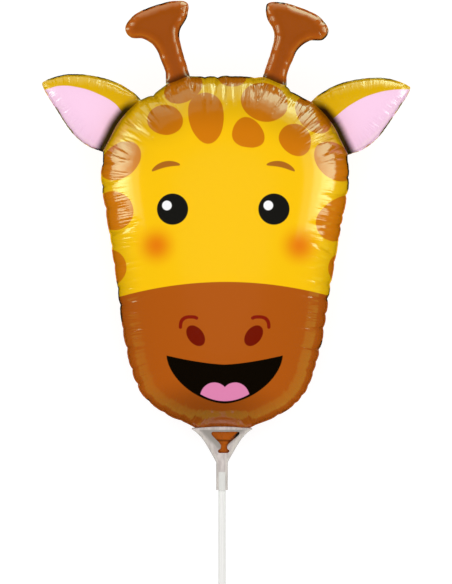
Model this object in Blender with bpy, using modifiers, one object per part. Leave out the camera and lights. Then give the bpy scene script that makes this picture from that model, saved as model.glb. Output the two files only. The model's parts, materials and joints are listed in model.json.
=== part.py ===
"""Giraffe head foil balloon on a cup and stick, lying on its back.

Everything is modelled in the balloon's own frame: x across the face, y up the face
along the stick, z out of the face, with the welded seam in the plane z = 0. At the end
the three pieces are laid down together, so that the end of the stick and the back of
the balloon both touch the floor at z = 0. Units are metres.
"""

import math

import bmesh
import bpy
import numpy as np
from mathutils import Matrix, Vector
from mathutils.geometry import delaunay_2d_cdt

# The inflated head, without its ears and horns
HEAD_HALF_WIDTH = 0.0887
HEAD_HEIGHT = 0.2500

# Outline of the right half of the balloon, from the crown's middle to the chin, as shares of
# the head's half width and of its height, counted from the middle of the face. Each stretch
# ends at a corner of the seam.
CROWN = [(0.0, 0.500), (0.293, 0.497)]
HORN = [
    (0.321, 0.530), (0.366, 0.582), (0.380, 0.624), (0.321, 0.667), (0.319, 0.705),
    (0.417, 0.712), (0.564, 0.700), (0.733, 0.674), (0.817, 0.636), (0.778, 0.606),
    (0.665, 0.601), (0.577, 0.578), (0.530, 0.534), (0.496, 0.482),
]
SHOULDER = [(0.586, 0.456), (0.676, 0.430)]
EAR = [
    (0.750, 0.450), (0.902, 0.480), (1.105, 0.497), (1.297, 0.498), (1.454, 0.480),
    (1.475, 0.460), (1.353, 0.390), (1.234, 0.330), (1.110, 0.294), (0.998, 0.276),
]
CHEEK = [
    (1.000, 0.200), (0.950, 0.087), (0.869, -0.084), (0.800, -0.255), (0.713, -0.370),
    (0.616, -0.427), (0.451, -0.470), (0.271, -0.497),
]

# The foil folds in where an ear or a horn leaves the head. Each fold runs between two
# corners of the seam, and the foil stands this high above the seam in its middle.
EAR_FOLD = [SHOULDER[-1], (0.778, 0.396), (0.874, 0.360), (0.927, 0.314), EAR[-1]]
EAR_FOLD_HEIGHT = 0.0125
HORN_FOLD = [CROWN[-1], (0.404, 0.498), HORN[-1]]
HORN_FOLD_HEIGHT = 0.0062

# Inflation, the welded seam and the crimps along it
FULLNESS = 0.80
SEAM_HALF_THICKNESS = 0.0005
CRIMP_PITCH = 0.0135
CRIMP_WAVES = ((0.6, 1.0, 0.0), (0.4, 0.618, 0.7))
CRIMP_DRIFT = 1.3
CRIMP_DRIFT_PITCH = 0.064
SCALLOP_DEPTH = 0.0009
CRIMP_DEPTH = 0.09
CRIMP_REACH = 0.012
HEAD_LEAN = math.radians(0.7)
FLAT_SPOT_PRESS = 0.0032

# How finely the foil is divided: along the seam, beside it, beside a fold and in the panels
SEAM_STEP = 0.0036
RING_INSETS = (0.0012, 0.0042, 0.0088)
FOLD_OFFSETS = (0.0026, 0.0065)
PANEL_STEP = 0.0100
CLOSEST_SHARE = 0.55
RING_SHARE = 0.80
RIM_SHARE = 0.45
CURVE_STEPS = 12

# Stick
STICK_RADIUS = 0.00255
STICK_WALL = 0.0007
STICK_LENGTH = 0.320
STICK_SIDES = 24

# Holder cup, one moulding: a flattened funnel above a round socket
CHIN_TO_MOUTH = 0.0032
MOUTH_ARCH = 0.0018
MOUTH_ARCH_REACH = 0.0070
MOUTH_HALF_WIDTH = 0.0218
MOUTH_HALF_DEPTH = 0.0095
FUNNEL_HEIGHT = 0.0235
FUNNEL_FLARE = 1.35
FUNNEL_WALL = 0.0010
SOCKET_HEIGHT = 0.0200
SOCKET_WALL = 0.0013
SOCKET_CLEARANCE = 0.0003
STICK_STOP = 0.0071
LENS_POWER = 1.45
ROUND_POWER = 2.0
CUP_SIDES = 40
FUNNEL_RINGS = 8

# Keyhole window in the front and the back of the funnel
WINDOW_DROP = 0.0018
WINDOW_HALF_WIDTH = 0.0098
WINDOW_BAND = 0.0022
WINDOW_HIP_HALF_WIDTH = 0.0061
WINDOW_HIP_DROP = 0.0052
WINDOW_SILL = 0.0065
THROAT_HALF_WIDTH = 0.0024
THROAT_HEIGHT = 0.0025
SLOT_HALF_WIDTH = 0.0040
SLOT_HEIGHT = 0.0021
WINDOW_CORNER = 0.0006

# How the foil clears the cup that grips its neck, and opens out above the cup's mouth
GRIP_CLEARANCE = 0.0009
GRIP_SLOPE = 2.2
GRIP_REACH = 0.012

# The neck narrows inside the cup to the filling tail, a flat tab
NECK_DROP = 0.0010
NECK_CLEARANCE = 0.0058
TAIL_TOP_DROP = 0.0095
TAIL_STANDOFF = 0.0045
TAIL_CLEARANCE = 0.0007
TAIL_CORNER = 0.0015

MOUTH_Y = CHEEK[-1][1] * HEAD_HEIGHT - CHIN_TO_MOUTH
SOCKET_RADIUS = STICK_RADIUS + SOCKET_CLEARANCE + SOCKET_WALL
SOCKET_TOP_Y = MOUTH_Y - FUNNEL_HEIGHT
SOCKET_END_Y = SOCKET_TOP_Y - SOCKET_HEIGHT
STICK_TOP_Y = SOCKET_TOP_Y - STICK_STOP
STICK_END_Y = STICK_TOP_Y - STICK_LENGTH

# The steepest way that the lying pose is looked for
STEEPEST_TILT = math.radians(30)
TILT_HALVINGS = 40


def clear_scene():
    for obj in list(bpy.data.objects):
        bpy.data.objects.remove(obj)


def new_collection(name):
    collection = bpy.data.collections.new(name)
    bpy.context.scene.collection.children.link(collection)
    return collection


def new_material(name, colour, roughness, metallic=0.0, alpha=1.0):
    material = bpy.data.materials.new(name)
    material.use_nodes = True
    shader = material.node_tree.nodes["Principled BSDF"]
    shader.inputs["Base Color"].default_value = (*colour, 1.0)
    shader.inputs["Roughness"].default_value = roughness
    shader.inputs["Metallic"].default_value = metallic
    shader.inputs["Alpha"].default_value = alpha
    return material


def new_object(name, mesh, collection, material=None):
    obj = bpy.data.objects.new(name, mesh)
    collection.objects.link(obj)
    if material:
        mesh.materials.append(material)
    return obj


# Balloon


def smooth_stretch(points, steps=CURVE_STEPS):
    """A Catmull-Rom curve through the points, with free ends."""
    points = [np.array(p) for p in points]
    padded = [2 * points[0] - points[1], *points, 2 * points[-1] - points[-2]]
    curve = []
    for a, b, c, d in zip(padded, padded[1:], padded[2:], padded[3:]):
        for t in np.arange(steps) / steps:
            curve.append(
                0.5 * (2 * b + (c - a) * t + (2 * a - 5 * b + 4 * c - d) * t**2
                       + (3 * b - a - 3 * c + d) * t**3)
            )
    return [*curve, points[-1]]


def placed(shares):
    """Points of the outline, from their shares of the head's half width and height."""
    return [(across * HEAD_HALF_WIDTH, up * HEAD_HEIGHT) for across, up in shares]


def half_outline():
    """The right half of the seam, from the crown to the tail's end, as dense points."""
    line, start = [], []
    head = [placed(stretch) for stretch in (CROWN, HORN, SHOULDER, EAR, CHEEK)]
    for stretch in (*head, neck_stretch()):
        line += smooth_stretch([*start, *stretch])[:-1]
        start = [stretch[-1]]
    tail_half_width, tail_end = start[0][0], SOCKET_TOP_Y + TAIL_STANDOFF
    for turn in np.radians([0, 30, 60, 90]):
        across = tail_half_width - TAIL_CORNER * (1 - math.cos(turn))
        line.append(np.array([across, tail_end + TAIL_CORNER * (1 - math.sin(turn))]))
    line.append(np.array([0.0, tail_end]))
    return np.array(line)


def neck_stretch():
    """From the cup's mouth to the top of the tail, which clears the funnel's narrowest part."""
    neck_half_width = MOUTH_HALF_WIDTH - FUNNEL_WALL - NECK_CLEARANCE
    narrowest, _, _, wall = cup_section(SOCKET_TOP_Y + TAIL_STANDOFF + TAIL_CORNER)
    tail_half_width = narrowest - wall - TAIL_CLEARANCE
    return [
        (neck_half_width, MOUTH_Y - NECK_DROP),
        ((neck_half_width + tail_half_width) / 2, MOUTH_Y - (NECK_DROP + TAIL_TOP_DROP) / 2),
        (tail_half_width, MOUTH_Y - TAIL_TOP_DROP),
    ]


def spaced(line, step):
    """Points about step apart along an open line, with both of its ends."""
    along = np.r_[0, np.cumsum(np.linalg.norm(np.diff(line, axis=0), axis=1))]
    at = np.linspace(0, along[-1], round(along[-1] / step) + 1)
    return np.stack([np.interp(at, along, line[:, k]) for k in range(2)], axis=1)


def seam_loop():
    """The whole seam, clockwise from the crown, with its scallops and how far along each point is."""
    half = spaced(half_outline(), SEAM_STEP)
    loop = np.vstack([half, (half * [-1, 1])[-2:0:-1]])
    ahead, behind = np.roll(loop, -1, axis=0), np.roll(loop, 1, axis=0)
    along = np.r_[0, np.cumsum(np.linalg.norm(ahead - loop, axis=1))[:-1]]
    tangent = (ahead - behind) / np.linalg.norm(ahead - behind, axis=1)[:, None]
    inward = np.stack([tangent[:, 1], -tangent[:, 0]], axis=1)
    free = np.clip((loop[:, 1] - MOUTH_Y) / GRIP_REACH, 0, 1)
    return loop + inward * (SCALLOP_DEPTH * free * crimp(along))[:, None], inward, along


def crimp(along):
    """0 on a crest of the crimped seam and 1 in a trough, uneven along the seam."""
    drift = CRIMP_DRIFT * np.sin(2 * np.pi * along / CRIMP_DRIFT_PITCH)
    turn = 2 * np.pi * along / CRIMP_PITCH + drift
    wave = sum(size * np.cos(rate * turn + shift) for size, rate, shift in CRIMP_WAVES)
    return 0.5 + 0.5 * wave


def nearest_seam(points, seam):
    """Distance from each point to the seam, and the index of the nearest seam point."""
    away = np.linalg.norm(points[:, None, :] - seam[None, :, :], axis=2)
    nearest = away.argmin(axis=1)
    return away[np.arange(len(points)), nearest], nearest


def inside_loop(points, loop):
    """True for each point within the loop, by counting crossings to its right."""
    a, b = loop, np.roll(loop, -1, axis=0)
    x, y = points[:, 0][:, None], points[:, 1][:, None]
    spans = (a[:, 1] > y) != (b[:, 1] > y)
    rise = np.where(b[:, 1] == a[:, 1], 1e-12, b[:, 1] - a[:, 1])
    cut = a[:, 0] + (y - a[:, 1]) / rise * (b[:, 0] - a[:, 0])
    return (spans & (x < cut)).sum(axis=1) % 2 == 1


def fold_points():
    """Points along the folds of both sides, and how high the foil stands at each."""
    places, heights = [], []
    for line, height in ((EAR_FOLD, EAR_FOLD_HEIGHT), (HORN_FOLD, HORN_FOLD_HEIGHT)):
        row = spaced(np.array(smooth_stretch(placed(line))), SEAM_STEP)[1:-1]
        across = np.linspace(-1, 1, len(row) + 2)[1:-1]
        for side in (1, -1):
            places.append(row * [side, 1])
            heights.append(height * np.sqrt(1 - across**2))
    return np.vstack(places), np.concatenate(heights)


def beside_folds(folds, offset):
    """Points at a distance from the folds, on both sides of them."""
    ahead = np.gradient(folds, axis=0)
    ahead /= np.linalg.norm(ahead, axis=1)[:, None]
    sideways = np.stack([ahead[:, 1], -ahead[:, 0]], axis=1)
    return np.vstack([folds + offset * sideways, folds - offset * sideways])


def panel_points(seam, inward, folds):
    """Points inside the seam: the folds, rings beside the seam and the folds, the cup's rim,
    and an even field that is finer at the cup."""
    kept = folds
    for inset in RING_INSETS:
        ring = seam + inward * inset
        ring = ring[well_inside(ring, seam, RING_SHARE * inset)]
        kept = with_clear_points(kept, ring, CLOSEST_SHARE * min(SEAM_STEP, 1.5 * inset))
    for offset in FOLD_OFFSETS:
        beside = beside_folds(folds, offset)
        beside = beside[well_inside(beside, seam, RING_INSETS[0])]
        kept = with_clear_points(kept, beside, CLOSEST_SHARE * offset)
    rim_across = np.arange(-MOUTH_HALF_WIDTH, MOUTH_HALF_WIDTH, SEAM_STEP)
    rim = np.stack([rim_across, rim_height(rim_across) + GRIP_CLEARANCE], axis=1)
    fine, coarse = even_field(seam, SEAM_STEP), even_field(seam, PANEL_STEP)
    near_rim = np.abs(fine[:, 1] - rim_height(fine[:, 0])) < RIM_SHARE * SEAM_STEP
    fine = fine[(fine[:, 1] < MOUTH_Y + GRIP_REACH) & ~near_rim]
    coarse = coarse[coarse[:, 1] > MOUTH_Y + GRIP_REACH]
    for candidates, step in ((rim, SEAM_STEP), (fine, SEAM_STEP), (coarse, PANEL_STEP)):
        candidates = candidates[well_inside(candidates, seam, CLOSEST_SHARE * step)]
        kept = with_clear_points(kept, candidates, CLOSEST_SHARE * step)
    return kept


def well_inside(points, seam, inset):
    """True for each point inside the seam and further than the inset from it."""
    away, _ = nearest_seam(points, seam)
    return inside_loop(points, seam) & (away > inset)


def with_clear_points(kept, candidates, gap):
    """Adds each candidate that is further than the gap from every point kept so far."""
    for point in candidates:
        if np.linalg.norm(kept - point, axis=1).min() > gap:
            kept = np.vstack([kept, point])
    return kept


def even_field(seam, step):
    """A triangular field of points over the seam's extent."""
    low, high = seam.min(axis=0), seam.max(axis=0)
    rows = np.arange(low[1], high[1], step * math.sqrt(0.75))
    columns = np.arange(-math.ceil(high[0] / step) * step, high[0], step)
    return np.array([
        (x + (step / 2 if row % 2 else 0), y) for row, y in enumerate(rows) for x in columns
    ])


def membrane(points, triangles, held):
    """Deflection of a membrane under unit pressure. It is given where held isn't NaN."""
    stiffness = np.zeros((len(points), len(points)))
    load = np.zeros(len(points))
    for k in range(3):
        i, j, o = triangles[:, k], triangles[:, (k + 1) % 3], triangles[:, (k + 2) % 3]
        a, b = points[i] - points[o], points[j] - points[o]
        area2 = np.abs(a[:, 0] * b[:, 1] - a[:, 1] * b[:, 0])
        weight = 0.5 * (a * b).sum(axis=1) / np.maximum(area2, 1e-12)
        np.add.at(stiffness, (i, j), -weight)
        np.add.at(stiffness, (j, i), -weight)
        np.add.at(stiffness, (i, i), weight)
        np.add.at(stiffness, (j, j), weight)
        np.add.at(load, i, area2 / 6)
    free = np.isnan(held)
    deflection = np.where(free, 0.0, held)
    pull = load - stiffness @ deflection
    deflection[free] = np.linalg.solve(stiffness[np.ix_(free, free)], pull[free])
    return np.maximum(deflection, 0)


def rim_height(x):
    """Height of the cup's arched mouth at a distance across it."""
    return MOUTH_Y + MOUTH_ARCH * np.maximum(0, 1 - (x / MOUTH_HALF_WIDTH) ** 2)


def grip_limit(points):
    """The most half thickness that the cup leaves the foil, opening out above its mouth."""
    limit = np.empty(len(points))
    for k, (x, y) in enumerate(points):
        a, b, power, wall = cup_section(min(y, MOUTH_Y))
        share = min(abs(x) / (a - wall - GRIP_CLEARANCE), 1.0)
        within = (b - wall - GRIP_CLEARANCE) * (1 - share**power) ** (1 / power)
        above = max(0.0, y - rim_height(x) - GRIP_CLEARANCE)
        limit[k] = within + GRIP_SLOPE * above
    return limit


def build_balloon(collection, material):
    seam, inward, along = seam_loop()
    folds, fold_heights = fold_points()
    inner = panel_points(seam, inward, folds)
    n = len(seam)
    flat = [Vector(p) for p in np.vstack([seam, inner])]
    edges = [(i, (i + 1) % n) for i in range(n)]
    verts, _, faces, *_ = delaunay_2d_cdt(flat, edges, [], 1, 1e-7)
    points = np.array(verts)
    triangles = np.array([f for f in faces if len(f) == 3])
    held = np.full(len(points), np.nan)
    held[:n] = 0.0
    held[n:n + len(folds)] = (fold_heights / FULLNESS) ** 2 / 2
    height = FULLNESS * np.sqrt(2 * membrane(points, triangles, held))
    away, nearest = nearest_seam(points, seam)
    fade = np.exp(-(away / CRIMP_REACH) ** 2)
    height *= 1 - CRIMP_DEPTH * fade * crimp(along)[nearest]
    height = np.minimum(height, np.maximum(grip_limit(points), SEAM_HALF_THICKNESS))
    height = np.maximum(height, SEAM_HALF_THICKNESS)

    bm = bmesh.new()
    front = [bm.verts.new((x, y, h)) for (x, y), h in zip(points, height)]
    back = [bm.verts.new((x, y, -h)) for (x, y), h in zip(points, height)]
    for a, b, c in triangles:
        bm.faces.new((front[a], front[b], front[c]))
        bm.faces.new((back[c], back[b], back[a]))
    for i in range(n):
        j = (i + 1) % n
        bm.faces.new((front[i], front[j], back[j], back[i]))
    bmesh.ops.recalc_face_normals(bm, faces=bm.faces)
    chin = Vector((0, MOUTH_Y, 0))
    bmesh.ops.rotate(
        bm,
        verts=[v for v in bm.verts if v.co.y > MOUTH_Y],
        cent=chin,
        matrix=Matrix.Rotation(-HEAD_LEAN, 3, "Z"),
    )
    mesh = bpy.data.meshes.new("foil_balloon")
    bm.to_mesh(mesh)
    bm.free()
    mesh.shade_smooth()
    return new_object("foil_balloon", mesh, collection, material)


# Holder cup


def cup_section(y):
    """Half width, half depth, curve power and wall of the cup at a height below its mouth."""
    if y <= SOCKET_TOP_Y:
        return SOCKET_RADIUS, SOCKET_RADIUS, ROUND_POWER, SOCKET_WALL
    down = (MOUTH_Y - y) / FUNNEL_HEIGHT
    up = 1 - down
    half_width = SOCKET_RADIUS + (MOUTH_HALF_WIDTH - SOCKET_RADIUS) * up**FUNNEL_FLARE
    half_depth = SOCKET_RADIUS + (MOUTH_HALF_DEPTH - SOCKET_RADIUS) * math.sin(up * math.pi / 2)
    power = ROUND_POWER + (LENS_POWER - ROUND_POWER) * up
    wall = SOCKET_WALL + (FUNNEL_WALL - SOCKET_WALL) * up
    return half_width, half_depth, power, wall


def cup_ring(bm, y, inset=False):
    """One cross-section of the cup, its outside or, with inset, its inside."""
    a, b, power, wall = cup_section(y)
    if inset:
        a, b = a - wall, b - wall
    arch = MOUTH_ARCH * max(0.0, 1 - (MOUTH_Y - y) / MOUTH_ARCH_REACH)
    ring = []
    for k in range(CUP_SIDES):
        turn = 2 * math.pi * k / CUP_SIDES
        c, s = math.cos(turn), math.sin(turn)
        x = a * math.copysign(abs(c) ** (2 / power), c)
        z = b * math.copysign(abs(s) ** (2 / power), s)
        ring.append(bm.verts.new((x, y + arch * (1 - (x / a) ** 2), z)))
    return ring


def bridge(bm, first, second):
    for k in range(len(first)):
        j = (k + 1) % len(first)
        bm.faces.new((first[k], first[j], second[j], second[k]))


def build_cup_body(collection, material):
    heights = [MOUTH_Y - FUNNEL_HEIGHT * i / FUNNEL_RINGS for i in range(FUNNEL_RINGS + 1)]
    heights.append(SOCKET_END_Y)
    bm = bmesh.new()
    outside = [cup_ring(bm, y) for y in heights]
    inside = [cup_ring(bm, y, inset=True) for y in heights]
    for rings in (outside, inside):
        for upper, lower in zip(rings, rings[1:]):
            bridge(bm, upper, lower)
    bridge(bm, outside[0], inside[0])
    bridge(bm, outside[-1], inside[-1])
    bmesh.ops.recalc_face_normals(bm, faces=bm.faces)
    mesh = bpy.data.meshes.new("holder_cup")
    bm.to_mesh(mesh)
    bm.free()
    mesh.shade_smooth()
    mesh.set_sharp_from_angle(angle=math.radians(40))
    return new_object("holder_cup", mesh, collection, material)


def window_outline():
    """Right half of the keyhole window, from its top middle to its bottom middle."""
    top = MOUTH_Y - WINDOW_DROP
    bottom = SOCKET_TOP_Y + WINDOW_SILL
    throat_bottom = bottom + SLOT_HEIGHT
    throat_top = throat_bottom + THROAT_HEIGHT
    corner = WINDOW_CORNER
    return [
        (0.0, top),
        (WINDOW_HALF_WIDTH - corner, top),
        (WINDOW_HALF_WIDTH, top - corner),
        (WINDOW_HALF_WIDTH - corner, top - WINDOW_BAND),
        (WINDOW_HIP_HALF_WIDTH, top - WINDOW_HIP_DROP),
        (THROAT_HALF_WIDTH + corner, throat_top + corner),
        (THROAT_HALF_WIDTH, throat_top - corner),
        (THROAT_HALF_WIDTH, throat_bottom),
        (SLOT_HALF_WIDTH - corner, throat_bottom),
        (SLOT_HALF_WIDTH, throat_bottom - corner),
        (SLOT_HALF_WIDTH, bottom + corner),
        (SLOT_HALF_WIDTH - corner, bottom),
        (0.0, bottom),
    ]


def cut_window(cup, cutters):
    """Cuts the keyhole through the funnel's front and back walls in one pass."""
    half = window_outline()
    outline = half + [(-x, y) for x, y in half[-2:0:-1]]
    reach = 2 * MOUTH_HALF_DEPTH
    bm = bmesh.new()
    face = bm.faces.new([bm.verts.new((x, y, -reach)) for x, y in outline])
    sides = bmesh.ops.extrude_face_region(bm, geom=[face])["geom"]
    raised = [v for v in sides if isinstance(v, bmesh.types.BMVert)]
    bmesh.ops.translate(bm, verts=raised, vec=(0, 0, 2 * reach))
    bmesh.ops.recalc_face_normals(bm, faces=bm.faces)
    mesh = bpy.data.meshes.new("window_cutter")
    bm.to_mesh(mesh)
    bm.free()
    cutter = new_object("window_cutter", mesh, cutters)
    cutter.hide_render = True
    cutter.display_type = "WIRE"
    cut = cup.modifiers.new("keyhole_window", "BOOLEAN")
    cut.operation = "DIFFERENCE"
    cut.object = cutter
    return cutter


# Stick


def build_stick(collection, material):
    """An extruded tube, cut square at both ends, pushed up into the socket."""
    bm = bmesh.new()
    bmesh.ops.create_cone(
        bm, cap_ends=False, segments=STICK_SIDES,
        radius1=STICK_RADIUS, radius2=STICK_RADIUS, depth=STICK_LENGTH,
        matrix=Matrix.Rotation(math.radians(90), 4, "X"),
    )
    bmesh.ops.translate(bm, verts=bm.verts, vec=(0, (STICK_TOP_Y + STICK_END_Y) / 2, 0))
    mesh = bpy.data.meshes.new("stick")
    bm.to_mesh(mesh)
    bm.free()
    mesh.shade_smooth()
    stick = new_object("stick", mesh, collection, material)
    wall = stick.modifiers.new("tube_wall", "SOLIDIFY")
    wall.thickness = STICK_WALL
    wall.offset = -1
    return stick


# Lying pose


def lying_tilt(balloon):
    """The tilt at which the stick's end and the balloon's pressed back touch one floor."""
    points = np.array([v.co for v in balloon.data.vertices])
    low, high = 0.0, STEEPEST_TILT
    for _ in range(TILT_HALVINGS):
        tilt = (low + high) / 2
        sine, cosine = math.sin(tilt), math.cos(tilt)
        back = (points[:, 1] * sine + points[:, 2] * cosine).min() + FLAT_SPOT_PRESS
        end = STICK_END_Y * sine - STICK_RADIUS * cosine
        low, high = (tilt, high) if back < end else (low, tilt)
    return tilt


def lay_down(pieces, balloon, collection):
    """Parents the pieces to one tilted empty and flattens the balloon's back on the floor."""
    tilt = lying_tilt(balloon)
    pose = bpy.data.objects.new("lying_pose", None)
    collection.objects.link(pose)
    pose.rotation_euler = (tilt, 0, 0)
    pose.location = (0, 0, STICK_RADIUS * math.cos(tilt) - STICK_END_Y * math.sin(tilt))
    bpy.context.view_layer.update()
    for piece in pieces:
        piece.parent = pose
    to_floor = pose.matrix_world.inverted()
    for vertex in balloon.data.vertices:
        place = pose.matrix_world @ vertex.co
        if place.z < 0:
            place.z = 0
            vertex.co = to_floor @ place
    return tilt, pose.location.z


def main():
    clear_scene()
    parts = new_collection("giraffe_head_balloon")
    cutters = new_collection("cutters")
    foil = new_material("printed_foil", (0.98, 0.58, 0.01), 0.3, metallic=0.2)
    frosted = new_material("frosted_plastic", (0.80, 0.76, 0.76), 0.4, alpha=0.75)
    white = new_material("white_plastic", (0.88, 0.89, 0.87), 0.35)
    balloon = build_balloon(parts, foil)
    cup = build_cup_body(parts, frosted)
    cutter = cut_window(cup, cutters)
    stick = build_stick(parts, white)
    tilt, height = lay_down([balloon, cup, stick, cutter], balloon, parts)
    print(f"tilt {math.degrees(tilt):.3f} degrees, seam plane {height:.5f} m above the floor")


main()
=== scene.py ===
"""Looks of the giraffe head foil balloon on its cup and stick, lying on its back.

Every piece is modelled in the balloon's own frame and then laid down with the others:
x across the face, y up the face along the stick, z out of the face, with the welded
seam in the plane z = 0. Lengths are metres, and the printed design is in millimetres.
"""

import json
import math

import bpy
import numpy as np
from mathutils import Matrix, Vector
from mathutils.bvhtree import BVHTree
from mathutils.geometry import delaunay_2d_cdt
from mathutils.kdtree import KDTree


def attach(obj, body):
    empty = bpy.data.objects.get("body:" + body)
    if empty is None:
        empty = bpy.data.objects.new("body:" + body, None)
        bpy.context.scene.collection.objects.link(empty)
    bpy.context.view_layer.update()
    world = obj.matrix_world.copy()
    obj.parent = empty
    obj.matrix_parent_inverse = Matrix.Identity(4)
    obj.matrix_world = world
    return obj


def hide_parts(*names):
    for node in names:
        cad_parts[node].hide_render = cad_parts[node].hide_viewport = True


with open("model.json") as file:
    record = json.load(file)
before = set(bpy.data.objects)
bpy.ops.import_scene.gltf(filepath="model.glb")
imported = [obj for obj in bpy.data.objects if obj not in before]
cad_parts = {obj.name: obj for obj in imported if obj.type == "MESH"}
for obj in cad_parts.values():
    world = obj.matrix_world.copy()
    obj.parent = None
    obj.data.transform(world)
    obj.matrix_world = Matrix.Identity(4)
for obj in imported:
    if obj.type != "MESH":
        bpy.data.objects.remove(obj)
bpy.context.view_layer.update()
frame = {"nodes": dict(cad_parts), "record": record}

# Foil balloon, shape
# Two printed panels of metallised film, welded together along one edge and filled with air.
# The head, the ears and the ossicones are one envelope, folded in where an ear or an
# ossicone leaves the head, and the filling neck runs down into the cup.
HEAD_HALF_WIDTH = 0.0887
HEAD_HEIGHT = 0.2500
# The right half's outline from the crown down, in shares of the head's half width and height
CROWN = [(0.0, 0.500), (0.293, 0.497)]
HORN = [
    (0.321, 0.530), (0.366, 0.582), (0.380, 0.624), (0.321, 0.667), (0.319, 0.705),
    (0.417, 0.712), (0.564, 0.700), (0.733, 0.674), (0.817, 0.636), (0.778, 0.606),
    (0.665, 0.601), (0.577, 0.578), (0.526, 0.540), (0.492, 0.508), (0.485, 0.471),
]
SHOULDER = [(0.583, 0.447), (0.684, 0.428)]
EAR = [
    (0.750, 0.450), (0.902, 0.480), (1.105, 0.497), (1.297, 0.498), (1.454, 0.480),
    (1.475, 0.460), (1.353, 0.390), (1.234, 0.330), (1.110, 0.294), (0.984, 0.277),
]
CHEEK = [
    (1.000, 0.200), (0.950, 0.087), (0.869, -0.084), (0.800, -0.255), (0.713, -0.370),
    (0.616, -0.427), (0.451, -0.470), (0.271, -0.497),
]
# Where an ear and a horn fold in from the head, and how high the foil stands midway there
EAR_FOLD = [(0.790, 0.392), (0.872, 0.354), (0.925, 0.317)]
EAR_FOLD_HEIGHT = 0.0055
HORN_FOLD = [(0.350, 0.489), (0.415, 0.479)]
HORN_FOLD_HEIGHT = 0.0042
HEAD_LEAN = math.radians(0.7)
# At 1, a long straight stretch of the envelope would be round
FULLNESS = 0.80
CUP_MOUTH_DROP = 0.0032
CUP_MOUTH_Y = CHEEK[-1][1] * HEAD_HEIGHT - CUP_MOUTH_DROP
# The neck inside the cup: half its width, and how far below the cup's mouth
NECK_HALF = [(0.0162, 0.0010), (0.0114, 0.0052), (0.0064, 0.0095)]
NECK = [(half, CUP_MOUTH_Y - down) for half, down in NECK_HALF]
TAIL_LENGTH = 0.0190
TAIL_END_Y = CUP_MOUTH_Y - TAIL_LENGTH
TAIL_CORNER = 0.0015
# How far above its mouth the cup still flattens the foil
GRIP_REACH = 0.0120

# The mesh: points along the seam, rings of points inside it and an even field further in
SEAM_STEP = 0.0007
CURVE_STEPS = 24
RING_INSETS = (
    0.0006, 0.0013, 0.0020, 0.0029, 0.0040, 0.0053, 0.0069, 0.0087, 0.0108, 0.0132,
    0.0159, 0.0189, 0.0222, 0.0258,
)
INNER_STEP = 0.0023
FLANGE_WIDTH = 0.0012
FLANGE_HALF_THICKNESS = 0.00025
# The weld waves out of its plane: how far, how far in, and each wave's part, length and lead
SEAM_WAVE = 0.0006
SEAM_WAVE_REACH = 0.0060
SEAM_WAVES = [(0.6, 0.0171, 1.1), (0.4, 0.0077, 0.0)]

# The balloon lies on its back, tilted until the stick's lower end comes down to the floor
stick_end = next(mount for mount in frame["record"]["mounts"] if mount["name"] == "stick_end")
LYING_TILT = math.asin(-stick_end["axis"][2])
SEAM_HEIGHT = stick_end["pos_m"][2] - stick_end["pos_m"][1] * math.tan(LYING_TILT)
LYING_POSE = Matrix.Translation((0, 0, SEAM_HEIGHT)) @ Matrix.Rotation(LYING_TILT, 4, "X")


def smooth_line(points, step):
    """Points a step apart along a smooth curve through the given points, with both ends."""
    points = [np.array(p, float) for p in points]
    padded = [2 * points[0] - points[1], *points, 2 * points[-1] - points[-2]]
    curve = []
    for a, b, c, d in zip(padded, padded[1:], padded[2:], padded[3:]):
        for t in np.arange(CURVE_STEPS) / CURVE_STEPS:
            curve.append(
                0.5 * (2 * b + (c - a) * t + (2 * a - 5 * b + 4 * c - d) * t**2
                       + (3 * b - a - 3 * c + d) * t**3)
            )
    return spaced(np.array([*curve, points[-1]]), step)


def spaced(line, step):
    """Points about a step apart along a line of straight pieces, with both ends."""
    along = np.r_[0, np.cumsum(np.linalg.norm(np.diff(line, axis=0), axis=1))]
    at = np.linspace(0, along[-1], max(2, round(along[-1] / step) + 1))
    return np.stack([np.interp(at, along, line[:, k]) for k in range(2)], axis=1)


def placed(shares):
    """Points of the outline, from their shares of the head's half width and height."""
    return [(across * HEAD_HALF_WIDTH, up * HEAD_HEIGHT) for across, up in shares]


def right_lines():
    """The seam's stretches and the two folds of the right half, from the crown down."""
    crown, horn, shoulder, ear, cheek = (placed(s) for s in (CROWN, HORN, SHOULDER, EAR, CHEEK))
    corner = [
        (
            NECK[-1][0] - TAIL_CORNER * (1 - math.cos(turn)),
            TAIL_END_Y + TAIL_CORNER * (1 - math.sin(turn)),
        )
        for turn in np.radians([0, 30, 60, 90])
    ]
    down = np.vstack([
        smooth_line([ear[-1], *cheek], SEAM_STEP),
        smooth_line([cheek[-1], *NECK], SEAM_STEP)[1:],
        spaced(np.array([NECK[-1], *corner, (0.0, TAIL_END_Y)]), SEAM_STEP)[1:],
    ])
    return {
        "crown": smooth_line(crown, SEAM_STEP),
        "horn": smooth_line([crown[-1], *horn], SEAM_STEP),
        "shoulder": smooth_line([horn[-1], *shoulder], SEAM_STEP),
        "ear": smooth_line([shoulder[-1], *ear], SEAM_STEP),
        "cheek": down,
        "horn_fold": smooth_line([crown[-1], *placed(HORN_FOLD), horn[-1]], SEAM_STEP),
        "ear_fold": smooth_line([shoulder[-1], *placed(EAR_FOLD), ear[-1]], SEAM_STEP),
    }


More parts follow.
